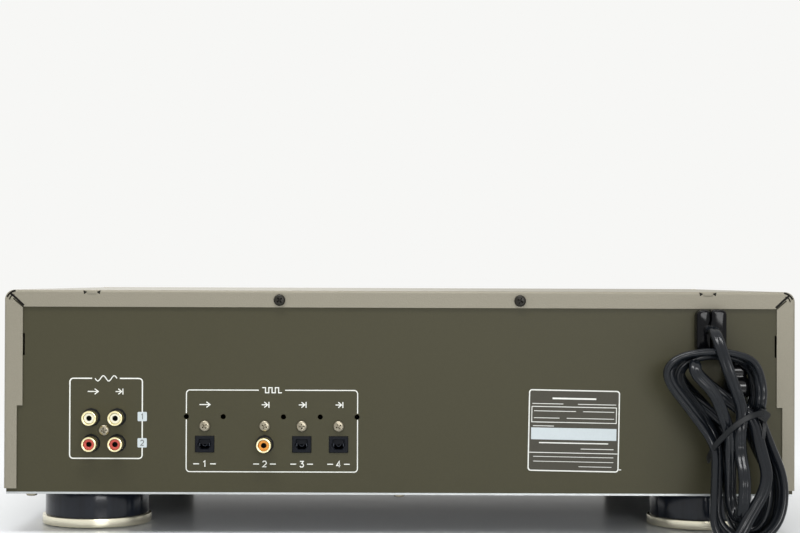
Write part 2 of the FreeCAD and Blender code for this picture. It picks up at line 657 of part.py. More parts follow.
def make_rear_panel():
    back = REAR_Y - SHEET
    high = CEILING_Z - FIT
    panel = slab_y(0, (FLOOR_Z + high) / 2, 2 * INNER_HALF, high - FLOOR_Z, back, REAR_Y)
    flange = INNER_HALF - PAN_CORNER
    additions = [
        box(-flange, flange, REAR_Y - PANEL_FLANGE, REAR_Y, FLOOR_Z, FLOOR_Z + SHEET),
        box(-flange, flange, REAR_Y - PANEL_FLANGE, REAR_Y, high - SHEET, high),
    ]
    deep = (back - 0.5, REAR_Y + 0.5)
    corner = Vector(INNER_HALF, back - 0.5, high)
    cuts = both_sides(corner_nick(corner, SHEET + 1))
    sockets = analog_places() + [(COAXIAL_X, DIGITAL_Z)]
    cuts += [hole_y(JACK_COLLAR_R + RUNNING, x, *deep, z, 10) for x, z in sockets]
    cuts += [rod_y(SPARE_HOLE_R, x, *deep, DIGITAL_HOLE_Z, 8) for x in spare_places()]
    cuts += [hole_y(JACK_SCREW_R + RUNNING, x, *deep, z) for x, z in jack_screw_places()]
    cuts += [slab_y(x, DIGITAL_Z, OPTICAL_WIDTH + FIT, OPTICAL_HEIGHT + FIT, *deep) for x in optical_places()]
    cuts.append(gland_neck(*deep))
    edge = HALF_WIDTH - SIDE_FLANGE
    cuts += both_sides(box(edge - EDGE_SLOT_WIDTH, edge, *deep, EDGE_SLOT_Z - EDGE_SLOT_HEIGHT / 2,
                           EDGE_SLOT_Z + EDGE_SLOT_HEIGHT / 2))
    cuts += [hole_y(SCREW_R + RUNNING, x, *deep, z) for x, z in cover_screw_places()]
    cuts += [hole_z(SCREW_R + RUNNING, x, y, FLOOR_Z - 1, FLOOR_Z + SHEET + 1) for x, y in pan_screw_places()]
    return joined(panel, additions, cuts)


def jack_body(places, extra=()):
    """Moulded block behind the panel with one collar for each barrel; it stands on the main board."""
    back, front = REAR_Y - SHEET - JACK_BLOCK_DEPTH, REAR_Y - SHEET
    xs, zs = [p[0] for p in places], [p[1] for p in places]
    half = JACK_PITCH / 2
    block = box(min(xs) - half, max(xs) + half, back, front, BOARD_TOP, max(zs) + half)
    collars = [rod_y(JACK_COLLAR_R, x, front, REAR_Y + JACK_COLLAR, z, 10) for x, z in places]
    holes = [hole_y(JACK_SCREW_R + RUNNING, x, REAR_Y - SCREW_LENGTH - 1, REAR_Y, z)
             for x, z in jack_screw_places()]
    return joined(block, collars + list(extra), holes)


def jack_shell(x, z):
    """Plated barrel of a phono socket."""
    front, mouth = REAR_Y + JACK_COLLAR, REAR_Y + JACK_REACH
    return rod_y(JACK_R, x, front, mouth, z).cut(rod_y(JACK_BORE_R, x, front - 1, mouth + 1, z, JACK_SIDES))


def jack_insert(x, z):
    """Coloured insulator inside a barrel, with the hole for the plug's pin."""
    front, mouth = REAR_Y + JACK_COLLAR, REAR_Y + JACK_REACH - 0.5
    body = rod_y(JACK_BORE_R, x, front, mouth, z, JACK_SIDES)
    return body.cut(rod_y(JACK_PLUG_HOLE_R, x, front + 1, mouth + 1, z, 6))


def make_jacks():
    tab = box(COAXIAL_X - SCREW_TAB / 2, COAXIAL_X + SCREW_TAB / 2, REAR_Y - SHEET - JACK_BLOCK_DEPTH,
              REAR_Y - SHEET, DIGITAL_Z, DIGITAL_SCREW_Z + SCREW_TAB / 2)
    blocks = [jack_body(analog_places()), jack_body([(COAXIAL_X, DIGITAL_Z)], [tab])]
    spots = analog_places()
    coaxial = (COAXIAL_X, DIGITAL_Z)
    shells = [jack_shell(*spot) for spot in spots + [coaxial]]
    inserts = [jack_insert(*spot) for spot in spots]
    return blocks, shells, inserts[:2], inserts[2:], jack_insert(*coaxial)


def optical_socket(x):
    """Light-guide socket: a moulded body with a square cavity, a lens in it, a screw tab and two legs."""
    back, mouth = REAR_Y - SHEET - OPTICAL_DEPTH, REAR_Y + 0.5
    nose = slab_y(x, DIGITAL_Z, OPTICAL_WIDTH, OPTICAL_HEIGHT, back, mouth)
    tab = box(x - SCREW_TAB / 2, x + SCREW_TAB / 2, back + 4, REAR_Y - SHEET, DIGITAL_Z,
              DIGITAL_SCREW_Z + SCREW_TAB / 2)
    legs = [box(x + s - 0.5, x + s + 0.5, back + 2, back + 3, BOARD_TOP, DIGITAL_Z - OPTICAL_HEIGHT / 2)
            for s in (-3, 3)]
    end = mouth - OPTICAL_CAVITY_DEPTH
    cavity = slab_y(x, DIGITAL_Z, OPTICAL_CAVITY, OPTICAL_CAVITY, end, mouth + 1, 1.2)
    lens = rod_y(1.3, x, end - 1, end + 3, DIGITAL_Z, 6)
    hole = hole_y(JACK_SCREW_R + RUNNING, x, REAR_Y - SCREW_LENGTH - 1, REAR_Y, DIGITAL_SCREW_Z)
    return joined(nose.fuse([tab] + legs).cut([cavity, hole]), [lens])


def make_jack_screws():
    return [screw(Vector(x, REAR_Y, z), Vector(0, 1, 0), SCREW_LENGTH, JACK_SCREW_R, JACK_SCREW_HEAD_R,
                  JACK_SCREW_HEAD) for x, z in jack_screw_places()]


# ---- mains cord ---------------------------------------------------------------------------------
def gland_neck(y0, y1):
    return slab_y(GLAND_X, GLAND_Z, GLAND_WIDTH - 2 * GLAND_NECK, GLAND_HEIGHT - 2 * GLAND_NECK, y0, y1, 2.0)


def make_gland():
    """Bushing: a rounded head outside, a neck through the panel and its tail inside."""
    face = REAR_Y + GLAND_REACH
    head = slab_y(GLAND_X, GLAND_Z, GLAND_WIDTH, GLAND_HEIGHT, REAR_Y, face, 3.0)
    head = head.makeChamfer(1.6, edges_at_y(head, face))
    return joined(head, [gland_neck(REAR_Y - SHEET - GLAND_TAIL, REAR_Y)])


def hank_ring(z, x, half_x, y, half_y):
    """Corners of one section of the hank, at a height."""
    ring = []
    for i in range(HANK_SIDES):
        turn = 2 * math.pi * i / HANK_SIDES
        ring.append(Vector(GLAND_X + x + half_x * math.cos(turn),
                           REAR_Y + SHEET + y + half_y * math.sin(turn), z))
    return ring


def make_hank():
    """Outer shape of the tied bundle, in flat facets, as one body that stands on the table."""
    rings = [hank_ring(*row) for row in HANK]
    faces = [Part.Face(Part.makePolygon(ring + ring[:1])) for ring in (rings[0], rings[-1])]
    for upper, lower in zip(rings, rings[1:]):
        for i in range(HANK_SIDES):
            j = (i + 1) % HANK_SIDES
            for corners in ((upper[i], upper[j], lower[i]), (upper[j], lower[j], lower[i])):
                faces.append(Part.Face(Part.makePolygon(list(corners) + [corners[0]])))
    hank = Part.Solid(Part.Shell(faces))
    if hank.Volume < 0:
        hank.reverse()
    return hank


def hank_at(z):
    """Middle and half sizes of the hank at a height, between the two nearest sections."""
    for upper, lower in zip(HANK, HANK[1:]):
        if lower[0] <= z <= upper[0]:
            share = (z - lower[0]) / (upper[0] - lower[0])
            return [lo + (hi - lo) * share for lo, hi in zip(lower, upper)][1:]
    raise ValueError(z)


def make_tie(hank):
    """Flat band round the hank's waist."""
    x, half_x, y, half_y = hank_at(TIE_Z)
    loop = hank_ring(TIE_Z - TIE_WIDTH / 2, x, half_x + 2 * TIE_T, y, half_y + 2 * TIE_T)
    return outline(loop, Vector(0, 0, TIE_WIDTH)).cut(hank)


def cord_line(route):
    """Points along straight runs and tangent arcs between them, each arc as large as its two runs allow."""
    points = [route[0]]
    for before, point, after in zip(route, route[1:], route[2:]):
        u, v = (before - point).normalize(), (after - point).normalize()
        turn = math.pi - u.getAngle(v)
        reach = 0.45 * min((point - before).Length, (after - point).Length)
        radius = reach / math.tan(turn / 2)
        centre = point + (u + v).normalize() * (radius / math.cos(turn / 2))
        spoke = point + u * reach - centre
        axis = spoke.cross(point + v * reach - centre)
        steps = math.ceil(turn / CORD_STEP)
        points += [centre + FreeCAD.Rotation(axis, math.degrees(turn * i / steps)).multVec(spoke)
                   for i in range(steps + 1)]
        print("cord lead: bend radius %.1f" % radius)
    return points + [route[-1]]


def cord_tube(route, diameter):
    """The lead as one solid in flat facets, its rings carried along the line without twist."""
    line = cord_line(route)
    steps = [b - a for a, b in zip(line, line[1:])]
    ways = [steps[0]] + [(a.normalize() + b.normalize()) for a, b in zip(steps, steps[1:])] + [steps[-1]]
    ring = ring_points(diameter / 2, Vector(0, 0, 0), Vector(0, 1, 0), CORD_SIDES)
    turned, rings = FreeCAD.Rotation(), []
    for before, way, point in zip([ways[0]] + ways, ways, line):
        turned = FreeCAD.Rotation(before, way).multiply(turned)
        rings.append([point + turned.multVec(corner) for corner in ring])
    faces = [Part.Face(Part.makePolygon(end + end[:1])) for end in (rings[0], rings[-1])]
    for near, far in zip(rings, rings[1:]):
        for i in range(CORD_SIDES):
            j = (i + 1) % CORD_SIDES
            for corners in ((near[i], near[j], far[i]), (near[j], far[j], far[i])):
                faces.append(Part.Face(Part.makePolygon(list(corners) + [corners[0]])))
    tube = Part.Solid(Part.Shell(faces))
    if tube.Volume < 0:
        tube.reverse()
    length = sum((b - a).Length for a, b in zip(line, line[1:]))
    print("cord lead: length %.1f, volume %.0f" % (length, tube.Volume))
    return tube


def make_plug():
    """Moulded two-blade plug that hangs in the hank, blades down."""
    w, d, h = PLUG_SIZE
    x, y, z = PLUG_AT
    body = slab_z(x - w / 2, x + w / 2, y - d / 2, y + d / 2, z, z + h, 2.0)
    t, wide, reach = BLADE
    blades = [box(at - t / 2, at + t / 2, y - wide / 2, y + wide / 2, z - reach, z)
              for at in (x - BLADE_PITCH / 2, x + BLADE_PITCH / 2)]
    return joined(body, blades)


# ---- front --------------------------------------------------------------------------------------
def knob_places():
    return [(x, z) for x, z, *_ in KNOBS.values()]


def make_front_panel():
    """Thick aluminium plate with bevelled edges and an opening for each control."""
    slab = box(-HALF_WIDTH, HALF_WIDTH, FRONT_Y, PANEL_BACK, PAN_Z, TOP_Z)
    slab = slab.makeChamfer(FRONT_EDGE, edges_at_y(slab, FRONT_Y))
    deep = (FRONT_Y - 1, PANEL_BACK + 1)
    cuts = [
        slab_y(0, SLOT_Z, SLOT_WIDTH, SLOT_HEIGHT, *deep, 1.0),
        slab_y(0, DISPLAY_Z, DISPLAY_WIDTH, DISPLAY_HEIGHT, *deep, 1.0),
        rod_y(around(PHONES_NOSE_R + RUNNING, 14), PHONES_X, *deep, PHONES_Z, 14),
    ]
    for x, z, width, height in BUTTONS.values():
        cuts.append(slab_y(x, z, width + 2 * BUTTON_GAP, height + 2 * BUTTON_GAP, *deep))
    cuts += [rod_y(SHAFT_R + 0.8, x, *deep, z, 12) for x, z in knob_places()]
    return slab.cut(cuts)


def front_seam():
    """x of the joint between the left end of the front frame and the rest."""
    return FRONT_END_WIDTH - INNER_HALF


def parted(shape):
    """The shape behind the panel in two pieces, left of the seam and right of it."""
    x, far = front_seam(), CASE_WIDTH
    left = box(-far, x, -far, far, 0, far)
    return [shape.common(left), shape.cut(box(-far, x + FIT, -far, far, 0, far))]


def board_posts():
    """(x, z) of the posts that carry the front boards."""
    high, low = CEILING_Z - BOARD_POST_INSET, FLOOR_Z + BOARD_POST_INSET
    side, middle = HALF_WIDTH - BOARD_POST_SIDE, DISPLAY_WIDTH / 2 + 2 * STANDOFF_R
    corners = [(x, z) for x in (-side, side) for z in (low, high)]
    return corners + [(-middle, low), (middle, low), (front_seam() + 4 * STANDOFF_R, high)]


def make_front_frame():
    """Moulded frame behind the panel, in two pieces: plate, edges, flap ears and posts for the boards."""
    low, high = FLOOR_Z + FIT, CEILING_Z - FIT
    half = INNER_HALF - FIT - PAN_SHEET
    back = PANEL_BACK + FRAME_FLANGE
    plate = box(-half, half, PANEL_BACK, FRAME_BACK, low, high)
    additions = [
        box(-half, half, PANEL_BACK, back, high - FRAME_T, high),
        box(-half, half, PANEL_BACK, back, low, low + FRAME_T),
    ]
    additions += both_sides(box(half - FRAME_T, half, PANEL_BACK, back, low, high))
    additions += [rod_y(STANDOFF_R, x, PANEL_BACK, BOARD_FRONT, z, 6) for x, z in board_posts()]
    corner = Vector(half, PANEL_BACK - 1, high)
    nick = corner_nick(corner, FRAME_FLANGE + 2)
    deep = (PANEL_BACK - 1, FRAME_BACK + 1)
    room = SLOT_WIDTH / 2 + FLAP_LAP + FIT
    under = SLOT_Z - SLOT_HEIGHT / 2 - FLAP_LAP - FIT
    cuts = both_sides(nick) + [
        box(-room, room, *deep, under, FLAP_PIVOT.z + FLAP_BARREL_R + FIT),
        slab_y(0, DISPLAY_Z, DISPLAY_WIDTH - 2 * DISPLAY_LIP, DISPLAY_HEIGHT - DISPLAY_LIP, *deep),
        rod_y(PHONES_NOSE_R + FIT, PHONES_X, *deep, PHONES_Z),
    ]
    lip = 2 * (BUTTON_GAP + BUTTON_LIP + FIT)
    for x, z, width, height in BUTTONS.values():
        cuts.append(slab_y(x, z, width + lip, height + lip, *deep))
    cuts += [slab_y(x, z, 2 * SHAFT_R + 3, 2 * SHAFT_R + 3, *deep) for x, z in knob_places()]
    ears = both_sides(box(room, room + FLAP_PIN_LENGTH, PANEL_BACK, FLAP_PIVOT.y + 2.5,
                          FLAP_PIVOT.z - 2.5, FLAP_PIVOT.z + 4))
    sides = 10
    bore = rod_x(around(FLAP_PIN_R + RUNNING, sides), room - 1, room + FLAP_PIN_LENGTH + 1,
                 FLAP_PIVOT.y, FLAP_PIVOT.z, sides)
    return parted(joined(joined(plate, additions, cuts), ears, both_sides(bore)))


def make_front_boards():
    """Board with the keys and the display, and the small one at its left with the headphone parts."""
    low, high, half = FLOOR_Z + 4.0, CEILING_Z - 4.0, INNER_HALF - 4.0
    board = box(-half, half, BOARD_FRONT, BOARD_FRONT + BOARD_T, low, high)
    deep = (BOARD_FRONT - 1, BOARD_FRONT + BOARD_T + 1)
    notch = SLIDER_X + WALL_T + 2 + PITCH_R
    return parted(board.cut([
        box(-notch - PITCH_R, notch, *deep, PLATE_Z - 4, high + 1),
        rod_y(PHONES_NOSE_R + FIT, PHONES_X, *deep, PHONES_Z),
    ]))


def make_front_switches():
    """Key switches behind the buttons and the controls behind the knobs, all on the front board."""
    pieces = [slab_y(x, z, SWITCH_SIZE, SWITCH_SIZE, BOARD_FRONT - SWITCH_T, BOARD_FRONT)
              for x, z, *_ in BUTTONS.values()]
    for x, z in knob_places():
        can = slab_y(x, z, CONTROL_SIZE, CONTROL_SIZE, FRAME_BACK + 1, BOARD_FRONT)
        sides = 8
        bore = rod_y(around(SHAFT_R + RUNNING, sides), x, PANEL_BACK, BOARD_FRONT - 2, z, sides)
        pieces.append(can.cut(bore))
    return pieces


def make_button(x, z, width, height):
    """Keycap with bevelled edges, its retaining flange behind the panel and a stem to the switch."""
    face = FRONT_Y - BUTTON_PROUD
    cap = box(x - width / 2, x + width / 2, face, PANEL_BACK + 0.5, z - height / 2, z + height / 2)
    cap = cap.makeChamfer(BUTTON_EDGE, edges_at_y(cap, face))
    rear = PANEL_BACK + 0.1
    lip = 2 * (BUTTON_GAP + BUTTON_LIP)
    flange = slab_y(x, z, width + lip, height + lip, rear, rear + BUTTON_FLANGE)
    tip = BOARD_FRONT - SWITCH_T - BUTTON_TRAVEL - 0.2
    return joined(cap, [flange, rod_y(BUTTON_STEM_R, x, rear, tip, z, 8)])


def make_knob(x, z, radius, reach, fluted):
    """Turned knob on its shaft: fluted with a pointer notch, or a plain dial with a finger dimple."""
    front, back = FRONT_Y - reach, FRONT_Y - KNOB_STAND
    if fluted:
        flutes = round(2 * math.pi * radius / FLUTE_PITCH)
        points = []
        for i in range(2 * flutes):
            turn = math.pi * (i + 0.5) / flutes
            r = radius if i % 2 else radius - FLUTE_DEPTH
            points.append(Vector(x + r * math.cos(turn), front, z + r * math.sin(turn)))
        body = outline(points, Vector(0, back - front, 0))
        dish = rod_y(radius * 0.7, x, front - 1, front + 0.6, z, 16)
        mark = box(x - 0.5, x + 0.5, front - 1, front + 0.6, z + radius * 0.45, z + radius + 1)
        body = body.cut([dish, mark])
    else:
        body = rod_y(radius, x, front, back, z, 32)
        dimple = rod_y(radius * 0.3, x, front - 1, front + 1.2, z + radius * 0.5, 12)
        body = body.makeChamfer(0.8, edges_at_y(body, front)).cut(dimple)
    return joined(body, [rod_y(SHAFT_R, x, back - 1, BOARD_FRONT - 2.5, z, 12)])


def make_flap():
    """Sprung door behind the slot, hung on two pins along its upper edge."""
    half = SLOT_WIDTH / 2 + FLAP_LAP
    low = SLOT_Z - SLOT_HEIGHT / 2 - FLAP_LAP
    front = FLAP_PIVOT.y - FLAP_T / 2
    door = box(-half, half, front, front + FLAP_T, low, FLAP_PIVOT.z)
    barrel = rod_x(FLAP_BARREL_R, -half, half, FLAP_PIVOT.y, FLAP_PIVOT.z, 10)
    reach = half + FIT + FLAP_PIN_LENGTH - 0.5
    return joined(door, [barrel, rod_x(FLAP_PIN_R, -reach, reach, FLAP_PIVOT.y, FLAP_PIVOT.z, 10)])


def make_phones_jack():
    """Headphone socket: nut in front of the panel, nose through it and a moulded body behind."""
    mouth = FRONT_Y - PHONES_NUT
    nose = rod_y(PHONES_NOSE_R, PHONES_X, mouth, BOARD_FRONT + BOARD_T + 1, PHONES_Z, 14)
    nut = rod_y(PHONES_NUT_R, PHONES_X, mouth, FRONT_Y, PHONES_Z, 6)
    behind = BOARD_FRONT + BOARD_T + FIT
    body = slab_y(PHONES_X, PHONES_Z, PHONES_SIZE, PHONES_SIZE, behind, mouth + PHONES_DEPTH)
    bore = rod_y(PHONES_BORE_R, PHONES_X, mouth - 1, mouth + PHONES_DEPTH - PHONES_END, PHONES_Z)
    return joined(nose, [nut, body], [bore])


def make_display():
    """Smoked window in the panel, and the fluorescent tube on the board behind it."""
    window = slab_y(0, DISPLAY_Z, DISPLAY_WIDTH - 2 * FIT, DISPLAY_HEIGHT - 2 * FIT,
                    FRONT_Y + FIT, PANEL_BACK, 1.0)
    tube = slab_y(0, DISPLAY_Z, DISPLAY_WIDTH - 4 * DISPLAY_LIP, DISPLAY_HEIGHT - 1.5 * DISPLAY_LIP,
                  BOARD_FRONT - TUBE_T, BOARD_FRONT)
    return window, tube


# ---- disc mechanism (modelled about the disc's centre, then moved to its place) ------------------
def gear(thickness):
    """Spur gear about Z with a tooth towards +Y; straight flanks between the involute's root and tip."""
    pitch = PITCH_R
    base = pitch * math.cos(PRESSURE_ANGLE)
    root, tip = pitch - 1.25 * GEAR_MODULE, pitch + GEAR_MODULE

    def involute(r):
        angle = math.acos(min(1, base / r))
        return math.tan(angle) - angle

    at_pitch = math.pi / (2 * GEAR_TEETH) - GEAR_BACKLASH / (2 * pitch)
    wide = at_pitch + involute(pitch)
    narrow = wide - involute(tip)
    points = []
    for i in range(GEAR_TEETH):
        middle = math.pi / 2 + 2 * math.pi * i / GEAR_TEETH
        for r, turn in ((root, -wide), (tip, -narrow), (tip, narrow), (root, wide)):
            points.append(Vector(r * math.cos(middle + turn), r * math.sin(middle + turn), 0))
    return outline(points, Vector(0, 0, thickness))


def rack(first, last, thickness, backing):
    """Rack along X with its pitch line on y = 0, teeth towards -Y and a tooth space at x = 0."""
    pitch = math.pi * GEAR_MODULE
    slope = math.tan(PRESSURE_ANGLE)
    half = pitch / 4 - GEAR_BACKLASH / 2
    root, tip = 1.25 * GEAR_MODULE, GEAR_MODULE
    points = [Vector(last * pitch, backing, 0), Vector(first * pitch, backing, 0),
              Vector(first * pitch, root, 0)]
    for i in range(first, last):
        middle = (i + 0.5) * pitch
        for offset, depth in ((-half - root * slope, root), (-half + tip * slope, -tip),
                              (half - tip * slope, -tip), (half + root * slope, root)):
            points.append(Vector(middle + offset, depth, 0))
    points.append(Vector(last * pitch, root, 0))
    return outline(points, Vector(0, 0, thickness))


def placed(shape):
    """Move a piece modelled about the disc's centre to its place in the deck."""
    copy = shape.copy()
    copy.translate(Vector(0, DISC_Y, 0))
    return copy


def pickup_window():
    """x0, x1, y0, y1 of the opening that the sled and its bracket run in."""
    return (SLED_START - 1.5, HEAD_PIVOT_X + 3 + SLED_TRAVEL, -SLED_HALF - 0.8, SLED_HALF + 0.8)


def damper_places():
    return [(x, y) for x in (PLATE_LEFT + 6, PLATE_RIGHT - 6) for y in (-27.0, PLATE_REAR - 8)]


def make_mech_chassis():
    """Base plate with the sled's window, guide walls for the holder's pins and pads under the slider."""
    plate = slab_z(PLATE_LEFT, PLATE_RIGHT, 2 - CARTRIDGE_DEPTH / 2, PLATE_REAR, PLATE_Z, PLATE_TOP, 4.0)
    x0, x1, y0, y1 = pickup_window()
    cuts = [
        box(x0, x1, y0, y1, PLATE_Z - 1, PLATE_TOP + 1),
        rod_z(around(TURNTABLE_R + 0.6, 16), 0, 0, PLATE_Z - 1, PLATE_TOP + 1, 16),
        rod_z(SPINDLE_R + 0.5, LOADING_GEAR_AT.x, LOADING_GEAR_AT.y, PLATE_Z - 1, PLATE_TOP + 1, 8),
    ]
    additions = []
    for side in (-1, 1):
        guide, pad = sided(GUIDE_X, GUIDE_X + WALL_T, side), sided(SLIDER_X, SLIDER_X + WALL_T, side)
        for y in PIN_Y:
            additions.append(box(*guide, y - 5, y + 5, PLATE_Z, SLOT_Z + 4))
            additions.append(box(*pad, y - 4, y + 4, PLATE_Z, SLIDER_Z - SLIDER_RIDE))
    for y in (-ROD_Y, ROD_Y):
        for x in (x0 - 3, x1):
            additions.append(box(x, x + 3, y - 2.2, y + 2.2, ROD_Z - 2.4, PLATE_TOP - 0.5))
    half = PIN_R + PIN_PLAY
    slots = [slanted_slot((y, SLOT_Z), (y, SLOT_Z - HOLDER_DROP), half, -GUIDE_X - 2, GUIDE_X + 2)
             for y in PIN_Y]
    rods = [rod_x(ROD_R, x0, x1, y, ROD_Z, 8) for y in (-ROD_Y, ROD_Y)]
    return [joined(plate.cut(cuts), additions, slots)] + rods


def make_brackets():
    """Folded steel stands on the pan that carry the mechanism's plate."""
    pieces = []
    high = PLATE_Z - DAMPER_T
    y0, y1 = damper_places()[0][1] - DAMPER_R, PLATE_REAR
    for side, edge in ((-1, -PLATE_LEFT), (1, PLATE_RIGHT)):
        wall = box(*sided(edge, edge + BRACKET_T, side), y0, y1, FLOOR_Z, high)
        additions = [box(*sided(edge, edge + 12, side), y0, y1, FLOOR_Z, FLOOR_Z + BRACKET_T)]
        for x, y in damper_places():
            if x * side > 0:
                additions.append(box(*sided(abs(x) - DAMPER_R, edge + BRACKET_T, side),
                                     y - DAMPER_R, y + DAMPER_R, high - BRACKET_T, high))
        window = box(*sided(edge - 1, edge + BRACKET_T + 1, side), y0 + 14, y1 - 14, FLOOR_Z + 14, high - 16)
        pieces.append(joined(wall, additions, [window]))
    return pieces


def make_dampers():
    low, high = PLATE_Z - DAMPER_T, PLATE_Z
    waisted = [(0, low), (DAMPER_R, low), (DAMPER_R - 1, (low + high) / 2), (DAMPER_R, high), (0, high)]
    return [stack(waisted, Vector(x, y, 0), Vector(0, 0, 1), 6) for x, y in damper_places()]


def make_motors():
    """Spindle motor and the two small geared motors, hung under the plate, each with a bore for its shaft."""
    spindle = rod_z(SPINDLE_MOTOR_R, 0, 0, PLATE_Z - SPINDLE_MOTOR_T, PLATE_Z, 16)
    tab = box(-SPINDLE_MOTOR_R - 4, -SPINDLE_MOTOR_R + 2, -5, 5, PLATE_Z - 1.5, PLATE_Z)
    bore = around(SPINDLE_R + RUNNING, 12)
    pieces = [joined(spindle, [tab], [rod_z(bore, 0, 0, PLATE_Z - SPINDLE_MOTOR_T + 2, PLATE_Z + 1, 12)])]
    bore = around(ROD_R + RUNNING, 12)
    at, low = SLED_GEAR_AT, SLED_Z + GEAR_T + 1.5
    pieces.append(rod_z(MOTOR_R, at.x, at.y, low, PLATE_Z, 12).cut(
        rod_z(bore, at.x, at.y, low - 1, PLATE_Z - 1, 12)))
    at, low = LOADING_GEAR_AT, PLATE_Z - MOTOR_T
    pieces.append(rod_z(MOTOR_R, at.x, at.y, low, PLATE_Z, 12).cut(
        rod_z(bore, at.x, at.y, low + 2, PLATE_Z + 1, 12)))
    return pieces


def make_turntable():
    """Disc table with its centring cone, on the spindle."""
    high = SLOT_Z - HOLDER_DROP - CARTRIDGE_HEIGHT / 2
    low = PLATE_Z - SPINDLE_MOTOR_T + 3
    return stack([
        (0, low), (SPINDLE_R, low), (SPINDLE_R, high - 2.5),
        (TURNTABLE_R, high - 2.5), (TURNTABLE_R, high - 0.9), (TURNTABLE_R - 3.0, high + 0.5),
        (SPINDLE_R + 0.9, high + 0.5), (SPINDLE_R * 0.5, high + 2.2), (0, high + 2.2),
    ], Vector(0, 0, 0), Vector(0, 0, 1), 16)


def make_sled():
    """Optical block on two rods, with its rack, lens, and the bracket that carries the head arm."""
    x0, x1 = SLED_START, SLED_START + SLED_LENGTH
    top = PLATE_TOP + 0.8
    block = box(x0, x1, -SLED_HALF, SLED_HALF, SLED_Z, top - 1.5)
    raised = slab_z(x0 + 1, x1 - 5, -8.0, 8.0, top - 1.5, top, 3.0)
    lens = stack([(0, top), (LENS_R, top), (LENS_R, top + 1.0), (LENS_R * 0.6, top + 1.4), (0, top + 1.4)],
                 Vector(LENS_X, 0, 0), Vector(0, 0, 1), 10)
    arm_x = HEAD_PIVOT_X - 2
    link = box(x1 - 1, arm_x + 4, -6, 6, PLATE_Z - 2, PLATE_TOP + 0.5)
    upright = box(arm_x, arm_x + 4, -6, 6, PLATE_TOP - 2, HEAD_PIVOT_Z + 2)
    pitch = math.pi * GEAR_MODULE
    teeth = rack(-math.ceil(SLED_TRAVEL / pitch) - 1, 1, GEAR_T + 0.6, 1.6)
    teeth.translate(Vector(SLED_GEAR_AT.x, SLED_RACK_Y, SLED_Z))
    bore = around(ROD_R + RUNNING, 8)
    cuts = [rod_x(bore, x0 - 1, x1 + 1, y, ROD_Z, 8) for y in (-ROD_Y, ROD_Y)]
    cuts.append(box(arm_x - 1, arm_x + 5, -4, 4, HEAD_PIVOT_Z - 8, HEAD_PIVOT_Z + 3))
    cuts.append(rod_y(around(HEAD_PIVOT_R + RUNNING, 10), HEAD_PIVOT_X, -7, 7, HEAD_PIVOT_Z, 10))
    return joined(block, [raised, lens, link, upright, teeth], cuts)


def make_head_arm():
    """Sprung arm that lowers the magnetic head through the holder's window."""
    z = HEAD_PIVOT_Z
    barrel = rod_y(2 * HEAD_PIVOT_R, HEAD_PIVOT_X, -3.7, 3.7, z, 10)
    pivot = rod_y(HEAD_PIVOT_R, HEAD_PIVOT_X, -5.9, 5.9, z, 10)
    arm = outline([
        Vector(HEAD_PIVOT_X, -3.4, z - 0.6), Vector(HEAD_PIVOT_X, 3.4, z - 0.6),
        Vector(LENS_X - 3, 2.2, z - 0.6), Vector(LENS_X - 3, -2.2, z - 0.6),
    ], Vector(0, 0, 1.2))
    head = box(LENS_X - 2.6, LENS_X + 2.6, -2.2, 2.2, z - 5.6, z)
    return joined(arm, [barrel, pivot, head])


def make_sled_gear():
    """Gear in mesh with the sled's rack, fused with its motor shaft."""
    at = SLED_GEAR_AT
    wheel = gear(GEAR_T)
    wheel.translate(at + Vector(0, 0, 0.2))
    return joined(wheel, [rod_z(ROD_R, at.x, at.y, at.z + 0.5, PLATE_Z - 1.5, 12)])


def make_loading_gear():
    """Gear in mesh with the slider's rack, fused with its motor shaft."""
    at = LOADING_GEAR_AT
    wheel = gear(GEAR_T)
    wheel.rotate(Vector(0, 0, 0), Vector(0, 0, 1), -90)
    wheel.translate(at)
    hub = rod_z(2.2, at.x, at.y, PLATE_TOP + FIT, at.z + 0.5, 12)
    return joined(wheel, [hub, rod_z(ROD_R, at.x, at.y, PLATE_Z - MOTOR_T + 3, at.z, 12)])


def make_slider():
    """Loading slider: two walls with slanted slots that lower the holder's pins, a bridge and a rack."""
    front, rear = PIN_Y[0] - SLIDER_TRAVEL - 4, PLATE_REAR - SLIDER_TRAVEL - 3
    walls = both_sides(box(SLIDER_X, SLIDER_X + WALL_T, front, rear, SLIDER_Z, SLIDER_TOP))
    bridge = box(-SLIDER_X - WALL_T, SLIDER_X + WALL_T, rear - 5, rear, SLIDER_Z, SLIDER_Z + WALL_T)
    pitch = math.pi * GEAR_MODULE
    teeth = rack(-1, math.ceil(SLIDER_TRAVEL / pitch) + 1, 1.5, -RACK_X - SLIDER_X - 0.5)
    teeth.rotate(Vector(0, 0, 0), Vector(0, 0, 1), -90)
    teeth.translate(Vector(RACK_X, LOADING_GEAR_AT.y, SLIDER_Z))
    half = PIN_R + PIN_PLAY
    slots = [slanted_slot((y, SLOT_Z), (y - SLIDER_TRAVEL, SLOT_Z - HOLDER_DROP), half,
                          -SLIDER_X - 2, SLIDER_X + 2) for y in PIN_Y]
    return joined(walls[0], [walls[1], bridge, teeth], slots)


